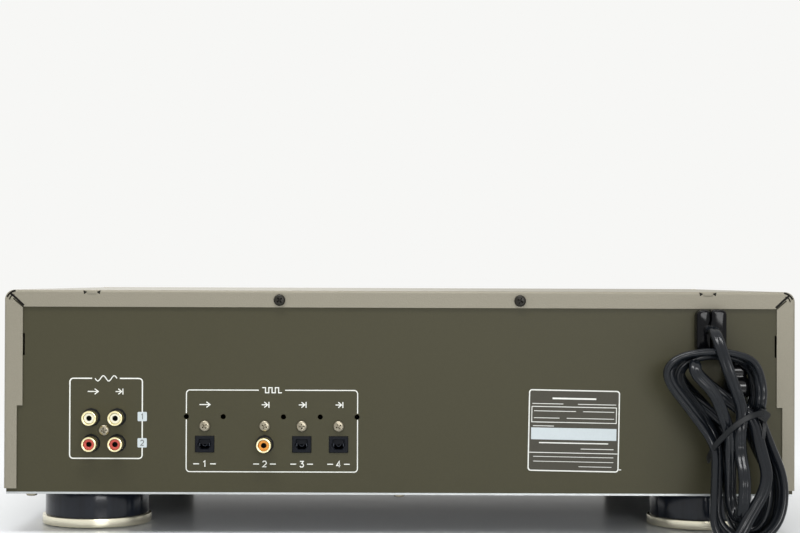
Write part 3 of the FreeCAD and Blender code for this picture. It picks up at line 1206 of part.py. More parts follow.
def make_holder():
    """Cartridge holder folded from sheet: top with the head's window, two sides, two lips and four pins."""
    y0, y1 = -CARTRIDGE_DEPTH / 2, CARTRIDGE_DEPTH / 2 - 2
    high = SLOT_Z + CARTRIDGE_HEIGHT / 2 + HOLDER_PLAY
    low = SLOT_Z - CARTRIDGE_HEIGHT / 2 - HOLDER_PLAY
    outside = box(-HOLDER_OUTER, HOLDER_OUTER, y0, y1, low - HOLDER_SHEET, high + HOLDER_SHEET)
    between = HOLDER_OUTER - HOLDER_LIP
    cuts = [
        box(-HOLDER_INNER, HOLDER_INNER, y0 - 1, y1 + 1, low, high),
        box(-between, between, y0 - 1, y1 + 1, low - 2, low + 1),
        box(between - 1, HOLDER_OUTER + 1, -SLED_HALF - 2, SLED_HALF + 2, low - 2, low + 0.5),
        box(LENS_X - 5, HOLDER_INNER - 2, -6, 6, high - 1, high + 2),
    ]
    pins = [rod_x(PIN_R, *sided(HOLDER_INNER + 0.2, SLIDER_X + WALL_T + 1, side), y, SLOT_Z, 12)
            for side in (-1, 1) for y in PIN_Y]
    return joined(outside.cut(cuts), pins)


# ---- electronics --------------------------------------------------------------------------------
def make_transformer():
    """Laminated core in a steel strap with feet, and the wound bobbin through it."""
    x, y = TRANSFORMER_AT
    w, d, h = TRANSFORMER
    low = FLOOR_Z + 2
    core = box(x - w / 2, x + w / 2, y - d * 0.3, y + d * 0.3, low, low + h)
    limb, window = 10.0, 14.0             # yoke's height and width of each window
    core = core.cut([box(x + s - window / 2, x + s + window / 2, y - d, y + d, low + limb, low + h - limb)
                     for s in (-w / 4, w / 4)])
    reach = w / 4 + window / 2 - FIT
    coil = slab_z(x - reach, x + reach, y - d / 2, y + d / 2, low + limb + FIT, low + h - limb - FIT, 5.0)
    coil = coil.cut(core)
    half = w / 2 + STRAP_T
    strap = box(x - half, x + half, y - 8, y + 8, FLOOR_Z, low + h + STRAP_T)
    strap = strap.cut(box(x - w / 2, x + w / 2, y - 9, y + 9, low, low + h))
    foot = half + TRANSFORMER_FOOT
    foot = box(x - foot, x + foot, y - 8, y + 8, FLOOR_Z, FLOOR_Z + STRAP_T)
    return [core, joined(strap, [foot]), coil]


def make_board(board):
    x0, x1, y0, y1 = board
    return box(x0, x1, y0, y1, BOARD_FLOOR, BOARD_TOP)


def make_heat_sink():
    x0, y = POWER_BOARD[0] + 18.0, POWER_BOARD[3] - 22.0
    spine = box(x0, x0 + 62, y, y + 2.5, BOARD_TOP, BOARD_TOP + 40)
    fins = [box(x0 + 7.5 * i, x0 + 7.5 * i + 1.6, y - 12, y, BOARD_TOP, BOARD_TOP + 40) for i in range(9)]
    return joined(spine, fins)


def make_capacitors():
    x0, y0 = POWER_BOARD[0], POWER_BOARD[2]
    cans = [(x0 + 20 + 26 * i, y0 + 26 + 30 * j, 10.0, 30.0) for i in range(3) for j in range(2)]
    x0, y1 = MAIN_BOARD[0], MAIN_BOARD[3]
    cans += [(x0 + 110 + 14 * i, y1 - 40, 5.0, 12.0) for i in range(3)]
    return [rod_z(r, x, y, BOARD_TOP, BOARD_TOP + h, 8) for x, y, r, h in cans]


def make_chips():
    x0, y0 = MAIN_BOARD[0], MAIN_BOARD[2]
    sizes = [(40, 40, 20), (80, 40, 14), (40, 90, 14), (80, 90, 20), (130, 60, 14), (150, 90, 12)]
    return [box(x0 + x - s / 2, x0 + x + s / 2, y0 + y - s / 2, y0 + y + s / 2, BOARD_TOP, BOARD_TOP + 2.4)
            for x, y, s in sizes]


# ---- everything ---------------------------------------------------------------------------------
def save_case():
    save("top_cover", make_cover())
    save("cover_screws", *make_cover_screws())
    save("bottom_chassis", make_pan())
    save("chassis_screws", *make_chassis_screws())
    barrels, rings, pads = make_feet()
    save("foot_barrels", *barrels)
    save("foot_rings", *rings)
    save("foot_pads", *pads)


def save_rear():
    save("rear_panel", make_rear_panel())
    blocks, shells, white, red, orange = make_jacks()
    save("jack_blocks", *blocks)
    save("jack_shells", *shells)
    save("white_inserts", *white)
    save("red_inserts", *red)
    save("orange_insert", orange)
    save("optical_sockets", *[optical_socket(x) for x in optical_places()])
    save("jack_screws", *make_jack_screws())


def save_cord():
    gland, plug, hank = make_gland(), make_plug(), make_hank()
    save("cord_gland", gland)
    save("cord_lead", cord_tube(CORD_ROUTE, CORD_WIDTH))
    save("cord_tie", make_tie(hank))
    save("cord_hank", hank.cut([plug, gland]))
    save("plug", plug)


def save_front():
    save("front_panel", make_front_panel())
    save("front_frame", *make_front_frame())
    window, tube = make_display()
    save("display_window", window)
    save("display_tube", tube)
    save("front_board", *make_front_boards())
    save("front_switches", *make_front_switches())
    save("phones_jack", make_phones_jack())
    save("slot_flap", make_flap())
    for name, sizes in BUTTONS.items():
        save(name, make_button(*sizes))
    for name, sizes in KNOBS.items():
        save(name, make_knob(*sizes, name != "jog_dial"))


def save_mechanism():
    save("mech_chassis", *[placed(s) for s in make_mech_chassis()])
    save("mech_brackets", *[placed(s) for s in make_brackets()])
    save("mech_dampers", *[placed(s) for s in make_dampers()])
    save("mech_motors", *[placed(s) for s in make_motors()])
    save("turntable", placed(make_turntable()))
    save("pickup_sled", placed(make_sled()))
    save("sled_gear", placed(make_sled_gear()))
    save("head_arm", placed(make_head_arm()))
    save("loading_slider", placed(make_slider()))
    save("loading_gear", placed(make_loading_gear()))
    save("cartridge_holder", placed(make_holder()))


def save_electronics():
    save("power_transformer", *make_transformer())
    save("power_board", make_board(POWER_BOARD))
    save("main_board", make_board(MAIN_BOARD))
    save("heat_sink", make_heat_sink())
    save("capacitors", *make_capacitors())
    save("main_chips", *make_chips())


def main():
    os.makedirs("parts", exist_ok=True)
    save_case()
    save_rear()
    save_cord()
    save_front()
    save_mechanism()
    save_electronics()


if __name__ == "__main__":
    main()
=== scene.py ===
"""Looks of the minidisc deck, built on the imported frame. Metres; the rear of the deck faces +Y."""
import bmesh
import bpy
import json
import math
from mathutils import Matrix, Vector


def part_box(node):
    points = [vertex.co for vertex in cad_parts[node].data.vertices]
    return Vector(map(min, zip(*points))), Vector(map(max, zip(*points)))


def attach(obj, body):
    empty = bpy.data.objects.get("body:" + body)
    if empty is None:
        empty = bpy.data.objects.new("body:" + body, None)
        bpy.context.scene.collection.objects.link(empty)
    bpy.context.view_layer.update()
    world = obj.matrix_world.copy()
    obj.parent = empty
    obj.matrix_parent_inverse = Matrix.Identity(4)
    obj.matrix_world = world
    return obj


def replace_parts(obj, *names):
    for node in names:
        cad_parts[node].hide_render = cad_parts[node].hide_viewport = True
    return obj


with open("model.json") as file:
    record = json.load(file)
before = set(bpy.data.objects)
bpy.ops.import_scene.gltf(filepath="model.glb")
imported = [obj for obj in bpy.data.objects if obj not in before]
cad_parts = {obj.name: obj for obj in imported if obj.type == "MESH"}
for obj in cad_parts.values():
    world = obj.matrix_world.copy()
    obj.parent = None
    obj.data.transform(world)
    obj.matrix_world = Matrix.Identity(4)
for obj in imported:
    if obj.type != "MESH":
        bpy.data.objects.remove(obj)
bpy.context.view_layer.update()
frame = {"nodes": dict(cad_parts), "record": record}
MM = 0.001

# ---- places from the frame ----
GLAND_REACH = 9.0 * MM
REAR_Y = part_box("cord_gland")[1].y - GLAND_REACH  # outer face of the rear panel
FRONT_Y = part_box("front_panel")[0].y
PLUG_LOW, PLUG_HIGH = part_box("plug")
SOCKET_Z = 49.5 * MM  # middle of the lower row of sockets
SINK, LIFT = 0.02 * MM, 0.04 * MM  # how far a printed mark reaches in and out
REAR_INK = (REAR_Y - SINK, REAR_Y + LIFT)
REARWARD, FORWARD = Vector((0, 1, 0)), Vector((0, -1, 0))
SLOT_OF = {part["node"]: part["material_slot"] for part in frame["record"]["subparts"]}


# ---- helpers ----
def mix(a, b, share):
    return a + (b - a) * share


def rear(x, depth, z):
    """A point given in mm: x, distance behind the rear panel, height."""
    return Vector((x * MM, REAR_Y + depth * MM, z * MM))


def scaled(points, across, up):
    return [(x * across, z * up) for x, z in points]


def mm_points(points, across=1.0, up=1.0):
    return scaled(points, across * MM, up * MM)


def show(obj):
    """Put a new object in the scene."""
    bpy.context.scene.collection.objects.link(obj)
    return obj


def piece(name, bm, slot, body="deck", smooth=True, angle=35.0):
    """Turn a bmesh into an object that rides on a body and takes a slot's material."""
    mesh = bpy.data.meshes.new(name)
    bmesh.ops.recalc_face_normals(bm, faces=bm.faces)
    bm.to_mesh(mesh)
    bm.free()
    obj = show(bpy.data.objects.new(name, mesh))
    mesh.materials.append(MATERIALS[slot])
    if smooth:
        mesh.shade_smooth()
        mesh.set_sharp_from_angle(angle=math.radians(angle))
    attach(obj, body)
    return obj


def middle_of(low, high):
    """Middle of a box in the XZ plane."""
    return (low.x + high.x) / 2, (low.z + high.z) / 2


def axis_matrix(base, axis):
    """Matrix that takes +Z at the origin to the axis at the base."""
    return Matrix.Translation(base) @ axis.to_track_quat("Z", "Y").to_matrix().to_4x4()


def solids(node):
    """Lowest and highest corners of each separate solid of a CAD node."""
    bm = bmesh.new()
    bm.from_mesh(frame["nodes"][node].data)
    bmesh.ops.remove_doubles(bm, verts=bm.verts, dist=0.01 * MM)
    waiting = set(bm.verts)
    boxes = []
    while waiting:
        front = [waiting.pop()]
        found = list(front)
        while front:
            near = {e.other_vert(v) for v in front for e in v.link_edges} & waiting
            waiting -= near
            front = list(near)
            found += front
        boxes.append([Vector([pick(v.co[i] for v in found) for i in range(3)]) for pick in (min, max)])
    bm.free()
    return sorted(boxes, key=lambda box: [round(c, 5) for c in box[0]])


def by_angle(points, verts):
    """Loop of (angle, vertex) in rising order, for points given about their middle."""
    loop = sorted((math.atan2(y, x), i) for i, (x, y) in enumerate(points))
    return [(t, verts[i]) for t, i in loop]


def bridge(bm, outer, inner):
    """Triangles between two closed loops of (angle, vertex), both in rising order of angle."""
    def turn(loop, k):
        return loop[k % len(loop)][0] + 2 * math.pi * (k // len(loop))

    i = j = 0
    while i < len(outer) or j < len(inner):
        a, b = outer[i % len(outer)][1], inner[j % len(inner)][1]
        if j >= len(inner) or (i < len(outer) and turn(outer, i + 1) <= turn(inner, j + 1)):
            i += 1
            bm.faces.new((a, outer[i % len(outer)][1], b))
        else:
            j += 1
            bm.faces.new((a, inner[j % len(inner)][1], b))


def lathe(bm, profile, matrix, segments=48):
    """Turn a profile of (radius, height) points about Z, then place it."""
    turns = [2 * math.pi * i / segments for i in range(segments)]
    rings = add_loops(bm, [[matrix @ Vector((radius * math.cos(t), radius * math.sin(t), height))
                            for t in (turns if radius else [0])] for radius, height in profile])
    for a, b in zip(rings, rings[1:]):
        for i in range(segments):
            j = (i + 1) % segments
            corners = dict.fromkeys((a[i % len(a)], a[j % len(a)], b[j % len(b)], b[i % len(b)]))
            if len(corners) > 2:
                bm.faces.new(list(corners))
    return rings


def skin(bm, rings):
    """Quads from each loop to the next, all of as many vertices."""
    for a, b in zip(rings, rings[1:]):
        for i in range(len(a)):
            j = (i + 1) % len(a)
            bm.faces.new((a[i], a[j], b[j], b[i]))


def add_loops(bm, loops):
    return [[bm.verts.new(spot) for spot in loop] for loop in loops]


def loft(bm, loops):
    """Solid through loops of as many points, closed at both ends."""
    rings = add_loops(bm, loops)
    skin(bm, rings)
    bm.faces.new(rings[0][::-1])
    bm.faces.new(rings[-1])
    return rings


def rounded(width, height, radius, steps=6):
    """Corner points of a rounded rectangle about the origin, anticlockwise."""
    points = []
    for cx, cz, start in ((1, 1, 0), (-1, 1, 90), (-1, -1, 180), (1, -1, 270)):
        for i in range(steps + 1):
            t = math.radians(start + 90 * i / steps)
            points.append((cx * (width / 2 - radius) + radius * math.cos(t),
                           cz * (height / 2 - radius) + radius * math.sin(t)))
    return points


def rounded_mm(width, height, radius, steps=6):
    return rounded(width * MM, height * MM, radius * MM, steps)


def at(points, y, centre=(0, 0), size=1.0):
    """An outline in the XZ plane, placed."""
    x, z = centre
    return [(x + px * size, y, z + pz * size) for px, pz in points]


def prism(bm, points, span, centre=(0, 0)):
    """Solid from one Y to another with an outline in the XZ plane."""
    loft(bm, [at(points, y, centre) for y in span])


def band(bm, outer, inner, span):
    """Frame between two outlines of as many points, in the XZ plane."""
    y0, y1 = span
    rings = add_loops(bm, [at(outer, y0), at(outer, y1), at(inner, y1), at(inner, y0)])
    skin(bm, rings + rings[:1])


def stroke(bm, points, width, span, centre=(0, 0)):
    """Line of even width along points in the XZ plane, mitred at its corners."""
    ways = [(Vector(b) - Vector(a)).normalized() for a, b in zip(points, points[1:])]
    left, right = [], []
    for i, point in enumerate(points):
        before, after = ways[max(i - 1, 0)], ways[min(i, len(ways) - 1)]
        mean = (before + after).normalized()
        side = Vector((-mean.y, mean.x)) * width / 2 / max(mean.dot(after), 0.5)
        left.append(Vector(point) + side)
        right.append(Vector(point) - side)
    for i in range(len(points) - 1):
        prism(bm, (left[i], left[i + 1], right[i + 1], right[i]), span, centre)


def draw(bm, lines, width, span, centre=(0, 0), scale=(1.0, 1.0)):
    """Strokes along lines, given in mm about a centre in metres."""
    for line in lines:
        stroke(bm, mm_points(line, *scale), width * MM, span, centre)


# ---- materials ----
def set_inputs(tree, node, inputs):
    """Give each input a value, or link it to the output that stands for it."""
    for socket, value in inputs.items():
        if isinstance(value, bpy.types.NodeSocket):
            tree.links.new(value, node.inputs[socket])
        else:
            node.inputs[socket].default_value = value


def add_node(tree, kind, inputs=None, **settings):
    node = tree.nodes.new("ShaderNode" + kind)
    for name, value in settings.items():
        setattr(node, name, value)
    set_inputs(tree, node, inputs or {})
    return node


def new_material(name):
    """A material, its node tree and its shader."""
    mat = bpy.data.materials.new(name)
    mat.use_nodes = True
    return mat, mat.node_tree, mat.node_tree.nodes["Principled BSDF"]


def surface(name, colour, roughness, metallic=0.0, grain=0.0, scale=(900, 900, 900), detail=3.0, vary=0.06,
            rough_vary=0.08, alpha=1.0, specular=0.5, shade_below=None, tracks=None, by="Object"):
    """Procedural surface: colour that drifts, roughness that varies, a fine grain as bump, and perhaps
    painted shade, a dull dark colour on the faces that point down, or fine tracks in another colour."""
    mat, tree, shader = new_material(name)
    place = add_node(tree, "TexCoord")
    broad = add_node(tree, "TexNoise", {"Vector": place.outputs["Object"], "Scale": 6.0, "Detail": 4.0})
    stretch = add_node(tree, "Mapping", {"Vector": place.outputs[by], "Scale": scale})
    fine = add_node(tree, "TexNoise", {"Vector": stretch.outputs["Vector"], "Scale": 1.0, "Detail": detail})
    both = add_node(tree, "Math", {0: broad.outputs["Fac"], 1: fine.outputs["Fac"]}, operation="ADD")
    drift = add_node(tree, "Math", {0: both.outputs[0], 1: 0.5}, operation="MULTIPLY").outputs[0]
    ramp = add_node(tree, "ValToRGB", {"Fac": drift})
    for i, (position, change) in enumerate(((0.3, 1 - vary), (0.7, 1 + vary))):
        ramp.color_ramp.elements[i].position = position
        ramp.color_ramp.elements[i].color = [min(1, c * change) for c in colour] + [1]
    colour_out = ramp.outputs["Color"]
    # painted shade: faces that point down take a dull dark diffuse colour in place of the surface
    if shade_below:
        facing = add_node(tree, "NewGeometry")
        split = add_node(tree, "SeparateXYZ", {"Vector": facing.outputs["Normal"]})
        down = add_node(tree, "Math", {0: split.outputs["Z"], 1: -0.5}, operation="LESS_THAN")
        painted_shade_bsdf = add_node(tree, "BsdfDiffuse", {"Color": (*shade_below, 1)})
        choice = add_node(tree, "MixShader",
                          {"Fac": down.outputs[0], 1: shader.outputs[0], 2: painted_shade_bsdf.outputs[0]})
        set_inputs(tree, tree.nodes["Material Output"], {"Surface": choice.outputs[0]})
    if tracks:
        sizes = {"Scale": 60, "Brick Width": 0.9, "Row Height": 0.1, "Mortar Size": 0.012}
        cells = add_node(tree, "TexBrick", {"Vector": place.outputs["Object"], **sizes}, squash=2.2,
                         squash_frequency=3, offset_frequency=5)
        colour_out = add_node(tree, "MixRGB", {"Fac": cells.outputs["Fac"], "Color1": colour_out,
                                               "Color2": (*tracks, 1)}).outputs["Color"]
    spread = add_node(tree, "MapRange", {"Value": drift, "To Min": max(0.02, roughness - rough_vary),
                                         "To Max": min(1.0, roughness + rough_vary)})
    set_inputs(tree, shader, {"Base Color": colour_out, "Roughness": spread.outputs["Result"], "Alpha": alpha,
                              "Metallic": metallic, "Specular IOR Level": specular})
    if grain:
        bump = add_node(tree, "Bump", {"Height": fine.outputs["Fac"], "Strength": grain, "Distance": 0.0002})
        set_inputs(tree, shader, {"Normal": bump.outputs["Normal"]})
    return mat


# scale: cells of the fine noise per metre along each axis
TINY, ALONG_X = (2500, 2500, 2500), (12, 900, 900)
SURFACES = {
    "champagne_paint": ((0.256, 0.236, 0.182), 0.46,
                        dict(grain=0.5, scale=(1300, 1300, 1300), vary=0.07, metallic=0.1, specular=0.4)),
    "olive_paint": ((0.054, 0.050, 0.027), 0.42, dict(grain=0.12, vary=0.05, specular=0.22)),
    # zinc_steel: painted shade, a dull dark colour on the faces that point down
    "zinc_steel": ((0.50, 0.52, 0.52), 0.42,
                   dict(metallic=0.85, scale=(60, 60, 60), vary=0.12, shade_below=(0.07, 0.07, 0.065))),
    "champagne_aluminium": ((0.56, 0.50, 0.37), 0.34,
                            dict(metallic=0.9, grain=0.3, scale=ALONG_X, vary=0.05)),
    "black_steel": ((0.020, 0.018, 0.014), 0.34, dict(metallic=0.3, specular=0.3)),
    "nickel_screws": ((0.30, 0.27, 0.205), 0.32, dict(metallic=1.0, vary=0.2)),
    # foot_black: noise stretched upright paints lighter vertical streaks into the barrels' colour, painted
    # reflections; the roughness varies with them
    "foot_black": ((0.010, 0.013, 0.020), 0.14,
                   dict(scale=(150, 150, 2), vary=0.75, detail=5, specular=0.32, rough_vary=0.1)),
    "foot_gold": ((0.93, 0.88, 0.70), 0.24, dict(metallic=0.75, scale=(60, 60, 2500), grain=0.2)),
    "foot_rubber": ((0.02, 0.02, 0.02), 0.8, dict(grain=0.3)),
    "black_plastic": ((0.006, 0.007, 0.010), 0.42, dict(grain=0.15, scale=TINY, specular=0.12)),
    "gold_plate": ((0.98, 0.86, 0.52), 0.22, dict(metallic=1.0)),
    "white_plastic": ((0.86, 0.83, 0.66), 0.3, dict(vary=0.02)),
    "red_plastic": ((0.56, 0.085, 0.06), 0.3, {}),
    "orange_plastic": ((0.74, 0.30, 0.04), 0.3, {}),
    "gland_plastic": ((0.003, 0.003, 0.004), 0.12, dict(specular=0.14)),
    "cord_vinyl": ((0.006, 0.0075, 0.010), 0.2,
                   dict(grain=0.3, scale=(0.6, 26, 1), vary=0.3, specular=0.27, by="UV")),
    "tie_plastic": ((0.008, 0.009, 0.010), 0.36, dict(grain=0.1, specular=0.2)),
    "plug_plastic": ((0.004, 0.004, 0.005), 0.1, dict(specular=0.35)),
    "core_steel": ((0.05, 0.045, 0.04), 0.45, dict(metallic=0.4, grain=0.4, scale=(20, 20, 1800))),
    "board": ((0.15, 0.095, 0.03), 0.5, dict(grain=0.1, tracks=(0.26, 0.19, 0.06))),
    "heat_sink": ((0.02, 0.02, 0.02), 0.4, dict(metallic=0.8, grain=0.2, scale=(900, 900, 20))),
    "can_sleeve": ((0.01, 0.015, 0.06), 0.25, {}),
    "chip": ((0.015, 0.015, 0.015), 0.55, dict(grain=0.2, scale=TINY)),
    "switch_body": ((0.02, 0.02, 0.02), 0.5, {}),
    "mech_steel": ((0.24, 0.245, 0.25), 0.45, dict(metallic=0.85, scale=(60, 60, 60), vary=0.1)),
    "damper_rubber": ((0.06, 0.02, 0.015), 0.7, {}),
    "motor_can": ((0.5, 0.5, 0.48), 0.3, dict(metallic=0.95, scale=(500, 500, 12))),
    "spindle_metal": ((0.7, 0.7, 0.7), 0.25, dict(metallic=1.0)),
    "nylon": ((0.74, 0.72, 0.6), 0.4, {}),
    "sled_casting": ((0.2, 0.2, 0.21), 0.5, dict(metallic=0.7, grain=0.4)),
    "display_glass": ((0.02, 0.035, 0.03), 0.08, dict(alpha=0.8, rough_vary=0.01)),
    "smoked_window": ((0.006, 0.006, 0.006), 0.05, dict(alpha=0.4, specular=0.4, rough_vary=0.01)),
    "key_plastic": ((0.50, 0.45, 0.34), 0.35, dict(metallic=0.6, grain=0.15, scale=TINY)),
    "knob_metal": ((0.58, 0.52, 0.39), 0.28, dict(metallic=0.95, grain=0.25, scale=ALONG_X)),
    "white_ink": ((0.80, 0.81, 0.76), 0.6, dict(vary=0.03, specular=0.3)),
    "plate_ink": ((0.062, 0.058, 0.045), 0.42, dict(specular=0.2)),
    # dark ink of the printed marks, pointers and can scores; also painted shade in the cover's open mitres
    # and on its dimples' ends
    "dark_ink_and_shade": ((0.008, 0.0075, 0.006), 0.5, dict(specular=0.1)),
    # near-black with little sheen: painted shade in the holes of the phono jacks
    "hole_shade": ((0.012, 0.01, 0.008), 0.4, dict(specular=0.1)),
    "pale_ink": ((0.56, 0.62, 0.64), 0.5, dict(vary=0.04)),
    "segment": ((0.55, 0.66, 0.58), 0.4, dict(vary=0.05)),
    "row_ink": ((0.16, 0.17, 0.17), 0.5, {}),
    "socket_door": ((0.010, 0.014, 0.024), 0.22, {}),
    # near-black without sheen: painted shade at the bottom of the light-guide sockets' mouths
    "mouth_shade_black": ((0.001, 0.001, 0.0015), 0.7, dict(specular=0.0)),
}
MATERIALS = {name: surface(name, colour, roughness, **more)
             for name, (colour, roughness, more) in SURFACES.items()}


def dress_frame():
    """Give every CAD node its slot's material."""
    for name, obj in frame["nodes"].items():
        for held in obj.material_slots:
            held.material = MATERIALS[SLOT_OF[name]]


# ---- feet and fasteners ----
# profiles in mm: radius and height over the table
FEET = {
    "foot_barrels": [(0, 5.6), (28.8, 5.6), (29.3, 6.1), (29.3, 20.4), (29.0, 21.2), (28.2, 22.0), (0, 22.0)],
    "foot_rings": [(25.4, 0.6), (30.5, 0.6), (30.9, 0.8), (31.0, 1.1), (31.0, 5.0), (30.9, 5.4), (30.6, 5.6),
                   (25.4, 5.6), (25.4, 0.6)],
    "foot_pads": [(0, 0), (23.8, 0), (24.6, 0.2), (24.9, 0.7), (24.9, 5.6), (0, 5.6)],
}
# head radius, head height, shank radius and length in mm
SCREWS = {
    "cover_screws": (3.2, 1.8, 1.4, 8.0),
    "jack_screws": (3.0, 1.5, 1.25, 8.0),
    "chassis_screws": (3.2, 1.8, 1.4, 5.0),
}
# from the seat up, in head radii and head heights
SCREW_HEAD = [(0.96, 0), (1, 0.14), (1, 0.42), (0.94, 0.7), (0.82, 0.9), (0.66, 1)]
SCREW_SIDES = 40
SCREW_CROWN = 1.03  # top of the head, in head heights
LEVEL_SCREW = 9 * MM  # a screw that lies level is longer than this, and no head is as wide


def make_feet():
    """Glossy barrel, bright ring and rubber pad of each foot."""
    middles = [(low + high) / 2 for low, high in solids("foot_barrels")]
    for node, profile in FEET.items():
        bm = bmesh.new()
        for middle in middles:
            lathe(bm, mm_points(profile), Matrix.Translation((middle.x, middle.y, 0)), 96)
        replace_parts(piece("turned_" + node, bm, SLOT_OF[node]), node)


def cross_points(reach, half):
    """Outline of a cross recess."""
    arm, points = [(reach, -half), (reach, half), (half, half)], []
    for _ in range(4):
        points += arm
        arm = [(-y, x) for x, y in arm]
    return points


def add_screw(bm, seat, axis, head, height, shank, length, turn):
    """Pan-head screw with a cross recess, seated with its axis out of the head."""
    place = axis_matrix(seat, axis) @ Matrix.Rotation(turn, 4, "Z")
    point = [(0, -length), (shank * 0.6, -length), (shank, shank - length), (shank, 0)]
    rim = lathe(bm, point + scaled(SCREW_HEAD, head, height), place, SCREW_SIDES)[-1]
    turns = [2 * math.pi * i / SCREW_SIDES for i in range(SCREW_SIDES)]
    ring = sorted((t if t <= math.pi else t - 2 * math.pi, i) for i, t in enumerate(turns))
    top = cross_points(head * 0.52, head * 0.12)
    edge = [bm.verts.new(place @ Vector((x, y, height * SCREW_CROWN))) for x, y in top]
    bridge(bm, [(t, rim[i]) for t, i in ring], by_angle(top, edge))
    foot = [bm.verts.new(place @ Vector((x * 0.5, y * 0.8, -height * 0.1))) for x, y in top]
    skin(bm, [edge, foot])
    bm.faces.new(foot)


def make_screws():
    """Detailed screws where each node's solids are, each along its own axis."""
    for node, (head, height, shank, length) in SCREWS.items():
        bm = bmesh.new()
        for index, (low, high) in enumerate(solids(node)):
            middle, size = (low + high) / 2, high - low
            axis = Vector((0, 0, -1))
            if size.x > LEVEL_SCREW:
                axis = Vector((math.copysign(1, middle.x), 0, 0))
            elif size.y > LEVEL_SCREW:
                axis = REARWARD
            seat = middle + axis * (abs(size.dot(axis)) / 2 - SCREW_CROWN * height * MM)
            add_screw(bm, seat, axis, head * MM, height * MM, shank * MM, length * MM, 0.5 + 1.1 * index)
        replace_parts(piece("cross_" + node, bm, SLOT_OF[node], angle=28), node)


# ---- rear connections ----
# profiles in mm: radius and distance from the node's inner end
JACK_BARREL = [(3.0, 0.0), (4.15, 0.0), (4.15, 6.9), (4.1, 7.3), (3.95, 7.55), (3.7, 7.68), (3.3, 7.68),
               (3.1, 7.6), (3.0, 7.4), (3.0, 0.0)]
JACK_COLLAR = [(4.15, -0.9), (4.9, -0.9), (4.9, -0.25), (4.72, 0.03), (4.15, 0.05), (4.15, -0.9)]
JACK_INSERT = [(0, 0.2), (2.98, 0.2), (2.98, 6.1), (2.78, 6.4), (2.74, 7.2), (2.66, 7.3), (2.25, 7.3),
               (2.2, 7.1), (2.1, 7.1), (2.05, 7.3), (1.75, 7.3), (1.55, 7.1), (1.5, 6.4), (1.5, 2.0),
               (0, 2.0)]
# cup shaped as the spring contact in each jack's hole, made near-black: painted shade of the hole
JACK_HOLE_SHADE = [(0, 2.05), (1.38, 2.05), (1.38, 6.3), (1.22, 6.4), (1.15, 6.2), (1.15, 2.4), (0, 2.4)]
# mouth of a light-guide socket in mm about its middle, and its lens ring: radius and height
HALF_MOUTH = [(2.0, -3.0), (3.3, -1.3), (3.3, -0.5), (3.7, -0.3), (3.7, 0.6), (3.3, 0.8), (3.3, 2.5),
              (2.9, 2.9)]
LIGHT_MOUTH = HALF_MOUTH + [(-x, z) for x, z in reversed(HALF_MOUTH)]
LENS_RING = [(0.9, 0.0), (1.5, 0.0), (1.5, 0.35), (1.3, 0.6), (1.05, 0.5), (0.9, 0.0)]
NOSE_WIDTH, NOSE_HEIGHT = 10.4 * MM, 8.9 * MM
# size of the plate of painted shade in each light-guide mouth
MOUTH_SHADE_SIZE = 0.885  # of the mouth


def turned_pieces(name, node, profile, slot, segments=56):
    """One turned form about Y at each solid of a node."""
    bm = bmesh.new()
    for low, high in solids(node):
        x, z = middle_of(low, high)
        lathe(bm, mm_points(profile), axis_matrix(Vector((x, low.y, z)), REARWARD), segments)
    return piece(name, bm, slot, angle=30)


def make_phono_jacks():
    """Plated barrels with a rolled lip, grooved inserts, a near-black cup of painted shade in each hole where
    the spring contact sits, and its collar.
    """
    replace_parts(turned_pieces("phono_barrels", "jack_shells", JACK_BARREL, "gold_plate"), "jack_shells")
    for node in ("white_inserts", "red_inserts", "orange_insert"):
        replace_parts(turned_pieces("grooved_" + node, node, JACK_INSERT, SLOT_OF[node]), node)
        # painted shade: the contact's cup in the hole takes a near-black colour
        turned_pieces("hole_shades_" + node, node, JACK_HOLE_SHADE, "hole_shade", 24)
    turned_pieces("jack_collars", "jack_shells", JACK_COLLAR, "black_plastic")


